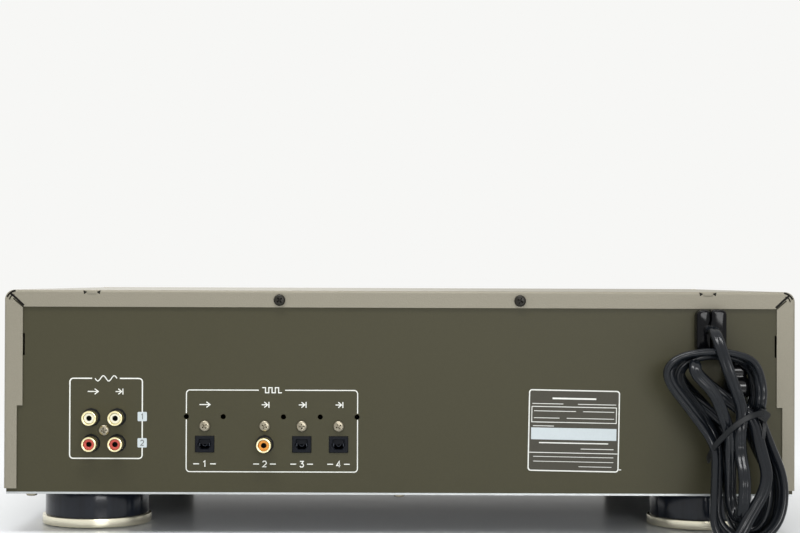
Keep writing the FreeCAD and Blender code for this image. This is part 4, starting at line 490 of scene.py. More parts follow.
def make_optical_sockets():
    """Moulded bodies with the stepped mouth of a light-guide socket, its shutter and lens ring, and a plate
    of painted shade at the bottom of each mouth.
    """
    mouth = mm_points(LIGHT_MOUTH)
    mouth_shade = mm_points(LIGHT_MOUTH, MOUTH_SHADE_SIZE, MOUTH_SHADE_SIZE)
    outer = rounded(NOSE_WIDTH, NOSE_HEIGHT, 0.5 * MM, 3)
    rim = rounded(NOSE_WIDTH - 0.4 * MM, NOSE_HEIGHT - 0.4 * MM, 0.5 * MM, 3)
    body, doors, mouth_shades = bmesh.new(), bmesh.new(), bmesh.new()
    for low, high in solids("optical_sockets"):
        x, z, back, face = (low.x + high.x) / 2, SOCKET_Z, low.y, high.y
        middle, nose_foot = (x, z), z - NOSE_HEIGHT / 2
        rings = add_loops(body, [at(outer, back, middle), at(outer, face - 0.25 * MM, middle),
                                 at(rim, face, middle)])
        skin(body, rings)
        body.faces.new(rings[0])
        lips = add_loops(body, [at(mouth, face - deep * MM, middle, size)
                                for size, deep in ((1.0, 0), (0.9, 0.6), (0.9, 2.4))])
        bridge(body, by_angle(rim, rings[-1]), by_angle(mouth, lips[0]))
        skin(body, lips)
        body.faces.new(lips[-1])
        prism(body, rounded(8 * MM, high.z - z, 0.8 * MM, 3), (back + 4 * MM, REAR_Y - 1.0 * MM),
              (x, (high.z + z) / 2))
        for side in (-3, 3):
            prism(body, rounded(1.0 * MM, nose_foot - low.z, 0.2 * MM, 2), (back + 2 * MM, back + 3 * MM),
                  (x + side * MM, (low.z + nose_foot) / 2))
        # painted shade: a near-black plate at the bottom of the mouth stands for its dark depth
        prism(mouth_shades, mouth_shade, (face - 2.45 * MM, face - 2.3 * MM), middle)
        for side in (-1, 1):
            prism(doors, rounded_mm(0.5, 1.6, 0.15, 2), (face - 2.3 * MM, face - 0.2 * MM),
                  (x + side * 2.7 * MM, z - 0.2 * MM))
        lens = Vector((x, face - 2.4 * MM, z + 0.1 * MM))
        lathe(doors, mm_points(LENS_RING), axis_matrix(lens, REARWARD), 32)
        prism(doors, mm_points([(-2.2, 0), (2.2, 0), (2.2, 0.2), (-2.2, 0.2)]),
              (face - 2.4 * MM, face - 2.0 * MM), (x, z + 1.9 * MM))
    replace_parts(piece("light_sockets", body, "black_plastic", angle=25), "optical_sockets")
    piece("light_shutters", doors, "socket_door", angle=25)
    piece("light_mouth_shades", mouth_shades, "mouth_shade_black", smooth=False)


# ---- printing on the rear panel, its sizes in mm ----
FRAME_WIDTH, LABEL_WIDTH = 0.68, 0.55
# left and right side seen from the front, bottom and top; then the gap in the top
ANALOG_FRAME = (141.2, 181.0, 41.5, 85.4)
ANALOG_GAP = (153.6, 168.8)
DIGITAL_FRAME = (23.0, 117.0, 34.4, 79.2)
DIGITAL_GAP = (62.8, 77.3)
FRAME_CORNER = 1.9
VENTS_Z, VENTS_GAP = 64.8, 1.75  # two vents interrupt the sides of the second outline
NUMBERS_Z = 38.7
PLATE_SIZE = (50.0, 44.8, 1.8)  # width, height and corner radius
PLATE_TOP = 0.18
SQUARE_WAVE = [(-5.4, -1.4), (-3.6, -1.4), (-3.6, 1.4), (-1.8, 1.4), (-1.8, -1.4), (0, -1.4), (0, 1.4),
               (1.8, 1.4), (1.8, -1.4), (3.6, -1.4), (3.6, 1.4), (5.4, 1.4)]
OUT_ARROW = [[(-2.9, 0), (2.3, 0)], [(0.9, 1.5), (2.9, 0), (0.9, -1.5)]]
IN_ARROW = [[(-1.7, 0), (1.0, 0)], [(-0.2, 1.5), (1.6, 0), (-0.2, -1.5)], [(2.3, 1.6), (2.3, -1.6)]]
DIGITS = {
    "0": [(-0.4, 1), (0.4, 1), (0.8, 0.6), (0.8, -0.6), (0.4, -1), (-0.4, -1), (-0.8, -0.6), (-0.8, 0.6),
          (-0.4, 1)],
    "1": [(-0.5, 0.55), (0.15, 1.0), (0.15, -1.0)],
    "2": [(-0.8, 0.55), (-0.45, 0.95), (0.4, 0.95), (0.8, 0.5), (0.8, 0.15), (-0.8, -0.92), (0.85, -0.92)],
    "3": [(-0.75, 0.92), (0.75, 0.92), (0.0, 0.2), (0.5, 0.1), (0.8, -0.25), (0.8, -0.6), (0.4, -0.95),
          (-0.4, -0.95), (-0.8, -0.6)],
    "4": [(0.35, -1.0), (0.35, 1.0), (-0.85, -0.4), (0.85, -0.4)],
    "6": [(0.6, 1.0), (-0.1, 0.6), (-0.7, -0.2), (-0.7, -0.6), (-0.35, -1), (0.35, -1), (0.75, -0.6),
          (0.75, -0.3), (0.35, 0.1), (-0.5, 0.1)],
    "8": [(-0.35, 0.1), (-0.7, 0.4), (-0.7, 0.7), (-0.35, 1), (0.35, 1), (0.7, 0.7), (0.7, 0.4),
          (0.35, 0.1), (-0.35, 0.1), (-0.8, -0.3), (-0.8, -0.7), (-0.4, -1), (0.4, -1), (0.8, -0.7),
          (0.8, -0.3), (0.35, 0.1)],
}
# plain rules where such a plate has its rows: height, spans and width
PLATE_RULES = ((17.6, ((-12, 12),), 0.9), (14.6, ((6, 23), (-23, -2)), 0.35),
               (10.6, ((-1, 22), (-22, -5)), 0.35), (6.8, ((8, 22), (-22, 4)), 0.35),
               (2.4, ((11, 22.5),), 0.35), (-6.8, ((-19, 19),), 0.6), (-9.9, ((-22, -4),), 0.35),
               (-14.4, ((-22, 22),), 0.3), (-17.0, ((-22, 22),), 0.3), (-19.6, ((-21, -3),), 0.3))


def clear_of_vents(points):
    """Cut the line where a hole interrupts its two upright sides."""
    parts, part = [], []
    for a, b in zip(points, points[1:]):
        part.append(a)
        if abs(a[0] - b[0]) < 0.01 and (a[1] - VENTS_Z) * (b[1] - VENTS_Z) < 0:
            toward = math.copysign(VENTS_GAP, b[1] - a[1])
            parts.append(part + [(a[0], VENTS_Z - toward)])
            part = [(a[0], VENTS_Z + toward)]
    return parts + [part + [points[-1]]]


def frame_path(left, right, low, high, gap):
    """Rounded rectangle as an open line, from one side of a gap in its top round to the other."""
    points = []
    for cx, sx, cz, sz, start in ((right, 1, high, 1, 90), (right, 1, low, -1, 0), (left, -1, low, -1, -90),
                                  (left, -1, high, 1, -180)):
        for i in range(7):
            t = math.radians(start - 15 * i)
            points.append((cx - sx * FRAME_CORNER + FRAME_CORNER * math.cos(t),
                           cz - sz * FRAME_CORNER + FRAME_CORNER * math.sin(t)))
    return [(gap[1], high)] + points + [(gap[0], high)]


def make_frames_print():
    """White outlines round the two groups of sockets, a waveform in the gap of each."""
    bm = bmesh.new()
    draw(bm, [frame_path(*ANALOG_FRAME, ANALOG_GAP)], FRAME_WIDTH, REAR_INK)
    draw(bm, clear_of_vents(frame_path(*DIGITAL_FRAME, DIGITAL_GAP)), FRAME_WIDTH * 0.82, REAR_INK)
    sine = [(-6.0 + 12.0 * i / 48, 1.45 * math.sin(4 * math.pi * i / 48)) for i in range(49)]
    draw(bm, [sine], FRAME_WIDTH * 0.8, REAR_INK, (161.2 * MM, ANALOG_FRAME[3] * MM))
    draw(bm, [SQUARE_WAVE], FRAME_WIDTH * 0.8, REAR_INK, (70.0 * MM, DIGITAL_FRAME[3] * MM))
    piece("panel_frames", bm, "white_ink", smooth=False)


def make_labels_print():
    """Arrows out of and into the deck over the sockets, plain numbers under them and at the rows."""
    bm, squares, numbers = bmesh.new(), bmesh.new(), bmesh.new()
    for x, z, arrow in ((168.3, 78.2, OUT_ARROW), (154.2, 78.2, IN_ARROW), (106.9, 71.2, OUT_ARROW),
                        (74.0, 71.2, IN_ARROW), (53.6, 71.2, IN_ARROW), (33.4, 71.2, IN_ARROW)):
        draw(bm, arrow, LABEL_WIDTH, REAR_INK, (x * MM, z * MM), (-1.0, 1.0))
    for digit, x in (("1", 106.9), ("2", 74.0), ("3", 53.6), ("4", 33.4)):
        spot = (x * MM, NUMBERS_Z * MM)
        draw(bm, [DIGITS[digit]], LABEL_WIDTH, REAR_INK, spot, (-1.25, 1.65))
        draw(bm, [[(side * 3.0, 0), (side * 6.2, 0)] for side in (-1, 1)], LABEL_WIDTH, REAR_INK, spot)
    low, high = REAR_INK
    for digit, z in (("1", 64.5), ("2", 50.1)):
        spot = (ANALOG_FRAME[0] * MM, z * MM)
        prism(squares, rounded_mm(5.1, 5.1, 0.5, 3), (low, high + LIFT), spot)
        draw(numbers, [DIGITS[digit]], 0.5, (high, high + 2 * LIFT), spot, (-1.0, 1.5))
    piece("panel_labels", bm, "white_ink", smooth=False)
    piece("row_squares", squares, "pale_ink", smooth=False)
    piece("row_numbers", numbers, "row_ink", smooth=False)


def make_plate():
    """Bordered metal plate without lettering: ground, outlines, a bare strip and rules."""
    place = Matrix.Translation((-95.7 * MM, REAR_Y, 57.5 * MM)) @ Matrix.Rotation(math.radians(-1.0), 4, "Y")
    ground, lines, strip = bmesh.new(), bmesh.new(), bmesh.new()
    width, height, radius = PLATE_SIZE
    outline = rounded_mm(width, height, radius)
    inked = (0, PLATE_TOP * MM + LIFT)
    prism(ground, outline, (-SINK, PLATE_TOP * MM))
    band(lines, outline, rounded_mm(width - 1.3, height - 1.3, 1.2), inked)
    box = [(23.2, 13.0), (-23.2, 13.0), (-23.2, 4.5), (23.2, 4.5), (23.2, 13.0)]
    draw(lines, [box, [(24.6, -12.2), (-24.6, -12.2)]], 0.4, inked)
    draw(lines, [[(-25.2, -20.9), (-26.4, -20.9)]], 0.5, (0, 2 * LIFT))
    for z, spans, weight in PLATE_RULES:
        draw(lines, [[(end, z), (start, z)] for start, end in spans], weight, inked)
    prism(strip, rounded_mm(46.8, 6.5, 0.2, 2), inked, (0, -1.8 * MM))
    for name, bm, slot in (("plate_ground", ground, "plate_ink"), ("plate_lines", lines, "white_ink"),
                           ("plate_strip", strip, "pale_ink")):
        bmesh.ops.transform(bm, matrix=place, verts=bm.verts)
        piece(name, bm, slot, smooth=False)


# ---- cover details ----
COVER_BACK = REAR_Y + 1.0 * MM
DIMPLE_X, DIMPLE_Z = 169.0, 132.6  # mm


def make_cover_marks():
    """Dimples pressed into the cover's rear bend with painted shadow on their steep ends, and dark strokes of
    painted shade for the open mitres and corner reliefs at its rear corners.
    """
    gap_shade, dimples = bmesh.new(), bmesh.new()
    cut = (COVER_BACK - 0.3 * MM, COVER_BACK + LIFT)
    for side in (-1, 1):
        # painted shade: a dark stroke for the open mitre gap, then one for the corner relief arc
        draw(gap_shade, [[(side * 206.3, 125.3), (side * 210.5, 129.3), (side * 213.6, 132.0)]], 1.15, cut)
        corner = [(side * (209.6 + 6.2 * math.sin(t)), 128.0 + 5.6 * math.cos(t))
                  for t in (math.radians(12 + 58 * i / 8) for i in range(9))]
        draw(gap_shade, [corner], 0.95, (cut[0], COVER_BACK + 2 * LIFT))
        for x in (-1, 1):
            spot = side * DIMPLE_X + x * 3.6
            # painted shadow on the steep, shaded end of the dimple
            shadow_notch = [(spot - x * 1.2, 132.9), (spot + x * 1.1, 133.7), (spot + x * 0.7, 131.6)]
            prism(gap_shade, mm_points(shadow_notch), cut)
        loft(dimples, [at(rounded_mm(6.4 * size, 2.4 * size, 1.1 * size, 5),
                          COVER_BACK + (0.5 * share - 0.1) * MM, (side * DIMPLE_X * MM, DIMPLE_Z * MM))
                       for share, size in ((0.0, 1.0), (0.5, 0.86), (0.85, 0.6), (1.0, 0.3))])
    piece("cover_gap_shade", gap_shade, "dark_ink_and_shade", smooth=False)
    piece("cover_dimples", dimples, "champagne_paint", angle=60)


# ---- front panel ----
MARK_HEIGHT = 1.6  # half the height of a printed mark, mm
MARK_GAP = 3.4  # from a key's top to the middle of its mark, mm
# width and height of the keys' faces in mm, as their guides behind the panel are larger
KEY_SIZES = {name: (20, 11) for name in ("play", "pause", "stop", "record", "rewind", "forward")}
KEY_SIZES.update(eject=(17, 7), power=(24, 10), time=(13, 6), edit=(13, 6))
# loops of a key's crown in mm: distance behind its front, and how far it is drawn in
KEY_CROWN = ((1.2, 0.05), (0.2, 0.05), (-0.05, 0.35), (-0.22, 1.0), (-0.34, 2.2))
KNOB_FLUTES = {"record_knob": 72, "input_knob": 36, "phones_knob": 36}
KNOB_GAP = 0.6 * MM  # between a knob and the panel
# shares of a knob's radius and height, and how far its turned face is sunk there in mm
KNOB_PROFILE = ((0, 0, 0), (0.93, 0, 0), (0.97, 0.04, 0), (0.97, 0.16, 0), (0.988, 0.2, 0), (1, 0.24, 0),
                (1, 0.86, 0), (0.97, 0.93, 0), (0.904, 0.985, 0), (0.82, 1, 0), (0.72, 1, 0), (0.70, 1, 0.25),
                (0.35, 1, 0.45), (0, 1, 0.5))
FLUTED_RINGS = slice(5, 7)
FLUTE_DEPTH, FLUTE_STEPS = 0.028, 6  # share of the radius, and points round each flute
# inner and outer radius of the ticks in mm, their width, swing either way and numbers
KNOB_SCALES = {
    "record_knob": (22.4, 24.2, 0.45, 150, ["" if i % 2 else str(i) for i in range(11)]),
    "input_knob": (10.0, 11.4, 0.5, 60, ["1", "2", "3", "4"]),
    "phones_knob": (9.6, 10.8, 0.35, 150, [""] * 11),
}


def ring_points(radius, steps=32, start=0, sweep=360):
    return [(radius * math.sin(math.radians(start + sweep * i / steps)),
             radius * math.cos(math.radians(start + sweep * i / steps))) for i in range(steps + 1)]


def key_marks():
    """Filled shapes and lines of each key's mark, about its own middle, in mm."""
    def shift(shape, dx):
        return [(x + dx, z) for x, z in shape]

    h = MARK_HEIGHT
    right = [(-h * 0.8, h), (-h * 0.8, -h), (h, 0)]
    left = [(-x, z) for x, z in right]
    bar = [(-0.5, h), (-0.5, -h), (0.5, -h), (0.5, h)]
    return {
        "play": ([right], []),
        "pause": ([shift(bar, -1.0), shift(bar, 1.0)], []),
        "stop": ([[(-h, h), (-h, -h), (h, -h), (h, h)]], []),
        "record": ([ring_points(h)[:-1]], []),
        "rewind": ([shift(left, -1.5), shift(left, 1.5)], []),
        "forward": ([shift(right, -1.5), shift(right, 1.5)], []),
        "eject": ([[(-h * 1.2, -0.2), (h * 1.2, -0.2), (0, h)],
                   [(-h * 1.2, -h), (h * 1.2, -h), (h * 1.2, -1.0), (-h * 1.2, -1.0)]], []),
        "power": ([], [ring_points(h, 24, 35, 290), [(0, h + 0.4), (0, 0.3)]]),
        "time": ([], [ring_points(h), [(0, h * 0.7), (0, 0), (h * 0.5, 0)]]),
        "edit": ([], [[(-h, h * 0.4), (-h, -h), (h * 0.4, -h), (h * 0.4, h * 0.4), (-h, h * 0.4)],
                      [(-h * 0.3, h), (h, h), (h, -h * 0.3)]]),
    }


def make_front_print():
    """Marks over the keys, the recording scale with its numbers, ticks at the small knobs."""
    bm = bmesh.new()
    ink = (FRONT_Y - LIFT, FRONT_Y + SINK)
    for name, (shapes, lines) in key_marks().items():
        x, z = middle_of(*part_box(name + "_button"))
        spot = (x, z + (KEY_SIZES[name][1] / 2 + MARK_GAP) * MM)
        for shape in shapes:
            prism(bm, mm_points(shape), ink, spot)
        draw(bm, lines, 0.4, ink, spot)
    for name, (inner, outer, weight, swing, numbers) in KNOB_SCALES.items():
        x, z = middle_of(*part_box(name))
        for i, number in enumerate(numbers):
            t = math.radians(-swing + 2 * swing * i / (len(numbers) - 1))
            way = Vector((math.sin(t), math.cos(t)))
            draw(bm, [[way * inner, way * outer]], weight, ink, (x, z))
            for k, digit in enumerate(number):
                spot = way * (outer + 2.6) * MM
                spot.x += (k - (len(number) - 1) / 2) * 2.2 * MM
                draw(bm, [DIGITS[digit]], 0.32, ink, (x + spot.x, z + spot.y), (0.85, 1.15))
    piece("front_marks", bm, "dark_ink_and_shade", smooth=False)


def make_keys():
    """Crowned caps with a rolled edge on the keys."""
    for name, (width, height) in KEY_SIZES.items():
        low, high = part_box(name + "_button")
        bm = bmesh.new()
        loft(bm, [at(rounded_mm(width - 2 * inset, height - 2 * inset, max(0.4, 1.2 - 0.2 * inset), 5),
                     low.y + back * MM, middle_of(low, high)) for back, inset in KEY_CROWN])
        piece(name + "_crown", bm, "key_plastic", name + "_button_body", angle=50)


def make_knobs():
    """Fluted knobs with a turned face and a pointer line, each on its own body."""
    for name, flutes in KNOB_FLUTES.items():
        low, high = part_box(name)
        x, z = middle_of(low, high)
        radius, height = (high.x - low.x) / 2, FRONT_Y - low.y - KNOB_GAP
        place = axis_matrix(Vector((x, FRONT_Y - KNOB_GAP, z)), FORWARD)
        profile = [(radius * wide, height * up - sunk * MM) for wide, up, sunk in KNOB_PROFILE]
        bm = bmesh.new()
        rings = lathe(bm, profile, place, flutes * FLUTE_STEPS)
        back = place.inverted()
        for ring in rings[FLUTED_RINGS]:
            for i, vert in enumerate(ring):
                spot = back @ vert.co
                cut = 1 - FLUTE_DEPTH * (0.5 - 0.5 * math.cos(2 * math.pi * i / FLUTE_STEPS)) ** 0.6
                vert.co = place @ Vector((spot.x * cut, spot.y * cut, spot.z))
        knob = piece("fluted_" + name, bm, "knob_metal", name + "_body", angle=30)
        shaft, length = bmesh.new(), high.y - FRONT_Y + 1.0 * MM
        lathe(shaft, [(0, 0), (3.0 * MM, 0), (3.0 * MM, length), (0, length)],
              axis_matrix(Vector((x, high.y, z)), FORWARD), 24)
        hub = piece("hub_" + name, shaft, "knob_metal", name + "_body", angle=30)
        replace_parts(knob, name)
        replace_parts(hub, name)
        line = bmesh.new()
        stroke(line, [(0, radius * 0.5), (0, radius * 0.9)], max(0.5 * MM, radius * 0.05),
               (low.y - LIFT, low.y + 0.8 * MM), (x, z))
        piece("pointer_" + name, line, "dark_ink_and_shade", name + "_body", smooth=False)


def make_display_segments():
    """Unlit figures, dots, a level bar and signs on the display tube."""
    low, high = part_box("display_tube")
    ink = (low.y - LIFT, low.y + SINK)
    middle = (low.z + high.z) / 2
    bm = bmesh.new()
    w, h, figure_z = 2.3, 3.6, 2.6  # half a figure's width and height, and its height over the middle
    figure = [((-w, h), (w, h)), ((-w, 0), (w, 0)), ((-w, -h), (w, -h)), ((-w, h), (-w, 0)), ((w, h), (w, 0)),
              ((-w, 0), (-w, -h)), ((w, 0), (w, -h))]
    for x in (-46, -38.5, -27, -19.5, -8, -0.5, 11, 18.5):
        for a, b in figure:
            a, b = Vector(a), Vector(b)
            cut = (b - a).normalized() * 0.55
            draw(bm, [[a + cut, b - cut]], 0.75, ink, (x * MM, middle + figure_z * MM))
    dots = [(x, figure_z + z, 0.8, 0.8, 0.2) for x in (-32.8, -13.8, 5.2) for z in (1.4, -1.4)]
    bars = [(-48 + i * 2.4, row, 1.7, 1.3, 0.2) for row in (-5.4, -7.8) for i in range(34)]
    signs = [(40 + (i % 3) * 5.6, 5.4 - (i // 3) * 4.6, 3.6, 2.2, 0.4) for i in range(6)]
    for x, z, wide, tall, radius in dots + bars + signs:
        prism(bm, rounded_mm(wide, tall, radius, 2), ink, (x * MM, middle + z * MM))
    piece("display_segments", bm, "segment", smooth=False)


# ---- inside ----
LEAD_PITCH, LEAD_HALF = 1.27 * MM, 0.22 * MM
# shares of a can's radius and height
CAN_SLEEVE = [(0, 0), (0.96, 0), (1, 0.02), (1, 0.07), (0.93, 0.1), (1, 0.13), (1, 0.975), (0.96, 0.995),
              (0.8, 0.995), (0.8, 0.98), (0, 0.98)]
CAN_TOP = [(0, 0.97), (0.79, 0.97), (0.79, 0.984), (0, 0.984)]
# a bent lead in mm: distance inwards from the package's side, height over the board
LEAD_SHAPE = [(0.6, 1.0), (-0.5, 1.0), (-1.0, 0.0), (-1.6, 0.0), (-1.6, 0.2), (-1.15, 0.2), (-0.65, 1.2),
              (0.6, 1.2)]


def make_chips():
    """Chip packages with a marked corner and rows of bent leads on the main board."""
    bodies, leads = bmesh.new(), bmesh.new()
    for low, high in solids("main_chips"):
        middle, size = (low + high) / 2, high - low
        board = low.z
        levels = ((board + 0.25 * MM, 0.5), (mix(board, high.z, 0.55), 0.0), (high.z, 0.45))
        loft(bodies, [[(middle.x + x, middle.y + y, z) for x, y in
                       rounded(size.x - 2 * inset * MM, size.y - 2 * inset * MM, 0.3 * MM, 2)]
                      for z, inset in levels])
        dot = Matrix.Translation((low.x + 2 * MM, low.y + 2 * MM, high.z - 0.05 * MM))
        lathe(bodies, mm_points([(0, 0), (0.5, 0), (0.5, 0.1), (0, 0.1)]), dot, 16)
        count = int(size.x / LEAD_PITCH) - 1
        for i in range(count):
            x = middle.x + (i - (count - 1) / 2) * LEAD_PITCH
            for side in (-1, 1):
                edge = middle.y + side * size.y / 2
                loft(leads, [[(x + dx, edge - side * out * MM, board + up * MM) for out, up in LEAD_SHAPE]
                             for dx in (-LEAD_HALF, LEAD_HALF)])
    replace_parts(piece("chip_packages", bodies, "chip", angle=25), "main_chips")
    piece("chip_leads", leads, "mech_steel", smooth=False)


def make_capacitors():
    """Sleeved cans with a crimped waist and a bare scored top."""
    sleeves, tops, scores = bmesh.new(), bmesh.new(), bmesh.new()
    for low, high in solids("capacitors"):
        r, h = (high.x - low.x) / 2 * 0.99, high.z - low.z
        place = Matrix.Translation(((low.x + high.x) / 2, (low.y + high.y) / 2, low.z))
        lathe(sleeves, scaled(CAN_SLEEVE, r, h), place)
        lathe(tops, scaled(CAN_TOP, r, h), place)
        bar = scaled([(-1, -1), (1, -1), (1, 1), (-1, 1)], r * 0.6, 0.15 * MM)
        for turn in (45, 135):
            way = place @ Matrix.Rotation(math.radians(turn), 4, "Z")
            loft(scores, [[way @ Vector((x, y, z)) for x, y in bar] for z in (h * 0.983, h * 0.986)])
    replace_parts(piece("can_sleeves", sleeves, "can_sleeve", angle=30), "capacitors")
    piece("can_tops", tops, "mech_steel", angle=30)
    piece("can_scores", scores, "dark_ink_and_shade", smooth=False)


# ---- mains cord ----
CORD_WIDTH, CORD_THICK = 6.6 * MM, 3.9 * MM
# lead from the gland, x, depth and height in mm, and how far the flat side turns to the viewer
LEAD = [
    (-169.5, 9.0, 113.5, 70),
    (-169.5, 18.0, 113.5, 75),
    (-170.8, 25.6, 107.0, 75),
    (-173.8, 29.6, 95.6, 70),
    (-178.6, 30.0, 82.6, 65),
    (-183.4, 27.0, 70.0, 60),
]
GLAND_MOUTH = (-169.5, 113.5)  # x and height in mm, where the lead comes out
GLAND_HALF = (4.2, 11.8)  # half the width and height of each half, mm
TIE_AT = (-181.5, 61.0)  # middle of the tie, x and height in mm
TIE_SLOPE = -0.67  # it lies aslant, higher on the right in the view
TIE_DEPTH = 20.8  # of its middle, mm
TIE_WIDE, TIE_THICK, TIE_STEPS = 3.1 * MM, 1.0 * MM, 96
TIE_SHIFT, TIE_HALF = 0.4, 14.7  # of the band's own middle to the left, and half its width, mm
TIE_OUT, TIE_IN = 13.0, 11.8  # how far the band reaches away from the rear panel and towards it, mm
TIE_SAG, TIE_BOW = 11.0, 5.0  # at its left end, and on its outer side, mm
# each turn in mm. tie: right x, left x, depth; low: right x, left x, right and left depth, foot height;
# high: left x, right x, crown height, left and right depth; turned: degrees the flat side turns to the
# viewer at low right, low left, high left and high right; foot: how far along the bottom the right side
# has come in at a fifth of the height and at the table; lean: how far out each upper side already is
# under the shoulder; wave: how far the low right strand bows out and in
TURNS = [
    {"tie": (-181.0, -176.5, 28.0), "low": (-182.0, -176.5, 43.0, 27.0, 15.0),
     "high": (-157.0, -159.0, 95.5, 33.0, 17.5), "turned": (88, 80, 86, 86), "foot": (0.08, 0.33),
     "lean": (0.5, 0.45), "wave": 3.0},
    {"tie": (-189.5, -169.0, 24.0), "low": (-195.8, -164.8, 44.0, 42.0, 3.4),
     "high": (-142.6, -194.6, 102.0, 26.0, 20.0), "turned": (80, 5, 75, 70), "foot": (0.40, 0.60)},
    {"tie": (-192.8, -172.0, 19.0), "low": (-204.6, -168.6, 37.0, 33.0, 3.4),
     "high": (-149.5, -193.2, 99.6, 19.0, 14.5), "turned": (35, 0, 60, 75)},
    {"tie": (-191.0, -174.0, 14.0), "low": (-202.5, -176.0, 30.0, 28.0, 3.4),
     "high": (-146.2, -194.6, 100.4, 13.5, 10.0), "turned": (10, 0, 60, 75)},
    {"tie": (-188.0, -179.0, 21.0), "low": (-197.0, -177.5, 31.0, 24.0, 8.0),
     "high": (-147.5, -195.4, 99.0, 9.0, 6.8), "turned": (30, 30, 60, 75)},
    {"tie": (-185.5, -177.0, 17.0), "low": (-200.0, -176.5, 23.0, 20.0, 3.4),
     "high": (-151.5, -176.0, 101.0, 8.0, 8.0), "turned": (0, 0, 60, 0)},
]
SHOULDER_DROP = 5.0  # of a turn's shoulders under its crown, mm
SIDE_DROPS = (9.0, 14.0)  # of the next point under the shoulder, on the left and on the right, mm
ROUTE_STEPS = 8
PATTERN_RINGS = 6  # rings along the cord to one unit of its surface pattern
LEVEL_RUN = 0.3  # a run nearer than this to the Y axis has no facing of its own
FACING_EASE = 0.35  # share of the way that the section turns from point to point to where it should face
PLUG_BODY = 18.5 * MM  # its length without the blades
# share of the way up the plug's body, and its size there
PLUG_GRIP = ((0.0, 0.72), (0.03, 0.84), (0.10, 0.94), (0.2, 0.99), (0.3, 1.0), (0.42, 0.95), (0.5, 0.85),
             (0.56, 0.72), (0.62, 0.66), (0.68, 0.68), (0.76, 0.70), (0.86, 0.66), (0.94, 0.54), (1.0, 0.36))
BLADE_X, BLADE_HALF = 6.35 * MM, 3.15 * MM  # from the plug's middle, and half a blade's width


def tie_height(x):
    return TIE_AT[1] + TIE_SLOPE * (x - TIE_AT[0])


def turn_stations(turn, next_right):
    """Control points of one turn: down on the right, along the table, up on the left, over the top."""
    right, left, depth = turn["tie"]
    low_right, low_left, right_depth, left_depth, foot = turn["low"]
    high_left, high_right, crown, up_depth, down_depth = turn["high"]
    down_face, up_face, left_face, right_face = turn["turned"]
    near_foot, at_foot = turn.get("foot", (0.06, 0.34))
    lean_left, lean_right = turn.get("lean", (1, 1))
    wave = turn.get("wave", 0)

    def low(x, share, side_depth, waist, height, facing, bow=0.0):
        return (x, mix(depth, side_depth, share) + bow, mix(foot, tie_height(waist), height), facing)

    def along_foot(share, out, waist, height, facing):
        side_depth = mix(right_depth, left_depth, share)
        return low(mix(low_right, low_left, share), out, side_depth, waist, height, facing)

    def high(x, z, facing, side_depth, share=1.0):
        return (x, mix(depth, side_depth, share), z, facing)

    def over(share, z, facing):
        return high(mix(high_left, high_right, share), z, facing, mix(up_depth, down_depth, share))

    shoulder = crown - SHOULDER_DROP
    left_side, right_side = (shoulder - drop for drop in SIDE_DROPS)
    under_left = mix(left, high_left, lean_left)
    under_right = mix(next_right, high_right, lean_right)
    flat = 86 if turn.get("lean") else 0
    return [
        (right, depth + wave, tie_height(right), down_face),
        low(mix(right, low_right, 0.45), 0.25, right_depth, right, 0.75, down_face, -wave),
        low(low_right, 0.6, right_depth, right, 0.48, down_face, wave),
        along_foot(near_foot, 0.88, right, 0.18, down_face),
        along_foot(at_foot, 1.0, right, 0.0, mix(down_face, up_face, 0.3)),
        along_foot(mix(at_foot, 1.0, 0.55), 1.0, left, 0.0, mix(down_face, up_face, 0.6)),
        along_foot(1.0, 0.88, left, 0.18, up_face),
        low(mix(left, low_left, 0.55), 0.6, left_depth, left, 0.48, up_face),
        low(mix(left, low_left, 0.2), 0.25, left_depth, left, 0.75, up_face),
        (left, depth, tie_height(left), mix(up_face, left_face, 0.5)),
        high(mix(left, under_left, 0.46), mix(tie_height(left), left_side, 0.5), left_face, up_depth, 0.4),
        high(under_left, left_side, left_face, up_depth),
        over(0.06, shoulder, mix(left_face, flat, 0.6)),
        over(0.32, crown, flat),
        over(0.66, crown, flat),
        over(0.93, shoulder, mix(flat, right_face, 0.6)),
        high(under_right, right_side, right_face, down_depth),
        high(mix(next_right, under_right, 0.5), mix(tie_height(next_right), right_side, 0.45), right_face,
             down_depth, 0.4),
    ]


def cord_stations():
    """All control points: the lead, the turns and the way down into the plug."""
    stations = list(LEAD)
    for turn, following in zip(TURNS, TURNS[1:] + [TURNS[-1]]):
        stations += turn_stations(turn, following["tie"][0])
    top = PLUG_HIGH.z / MM
    x = (PLUG_LOW.x + PLUG_HIGH.x) / 2 / MM
    depth = ((PLUG_LOW.y + PLUG_HIGH.y) / 2 - REAR_Y) / MM
    return stations[:-4] + [(-174.0, depth, top + 6.0, 0), (x, depth, top + 5.0, 0), (x, depth, top - 1.0, 0)]


def read_path(stations):
    """Points along the NURBS line of the route, as Blender draws it."""
    curve = bpy.data.curves.new("cord_line", "CURVE")
    curve.dimensions = "3D"
    curve.resolution_u = ROUTE_STEPS
    spline = curve.splines.new("NURBS")
    spline.points.add(len(stations) - 1)
    for point, (x, depth, z, _) in zip(spline.points, stations):
        point.co = (*rear(x, depth, z), 1.0)
    spline.order_u = 3
    spline.use_endpoint_u = True
    line = show(bpy.data.objects.new("cord_line", curve))
    mesh = bpy.data.meshes.new_from_object(line)
    points = [v.co.copy() for v in mesh.vertices]
    bpy.data.objects.remove(line)
    bpy.data.meshes.remove(mesh)
    return points


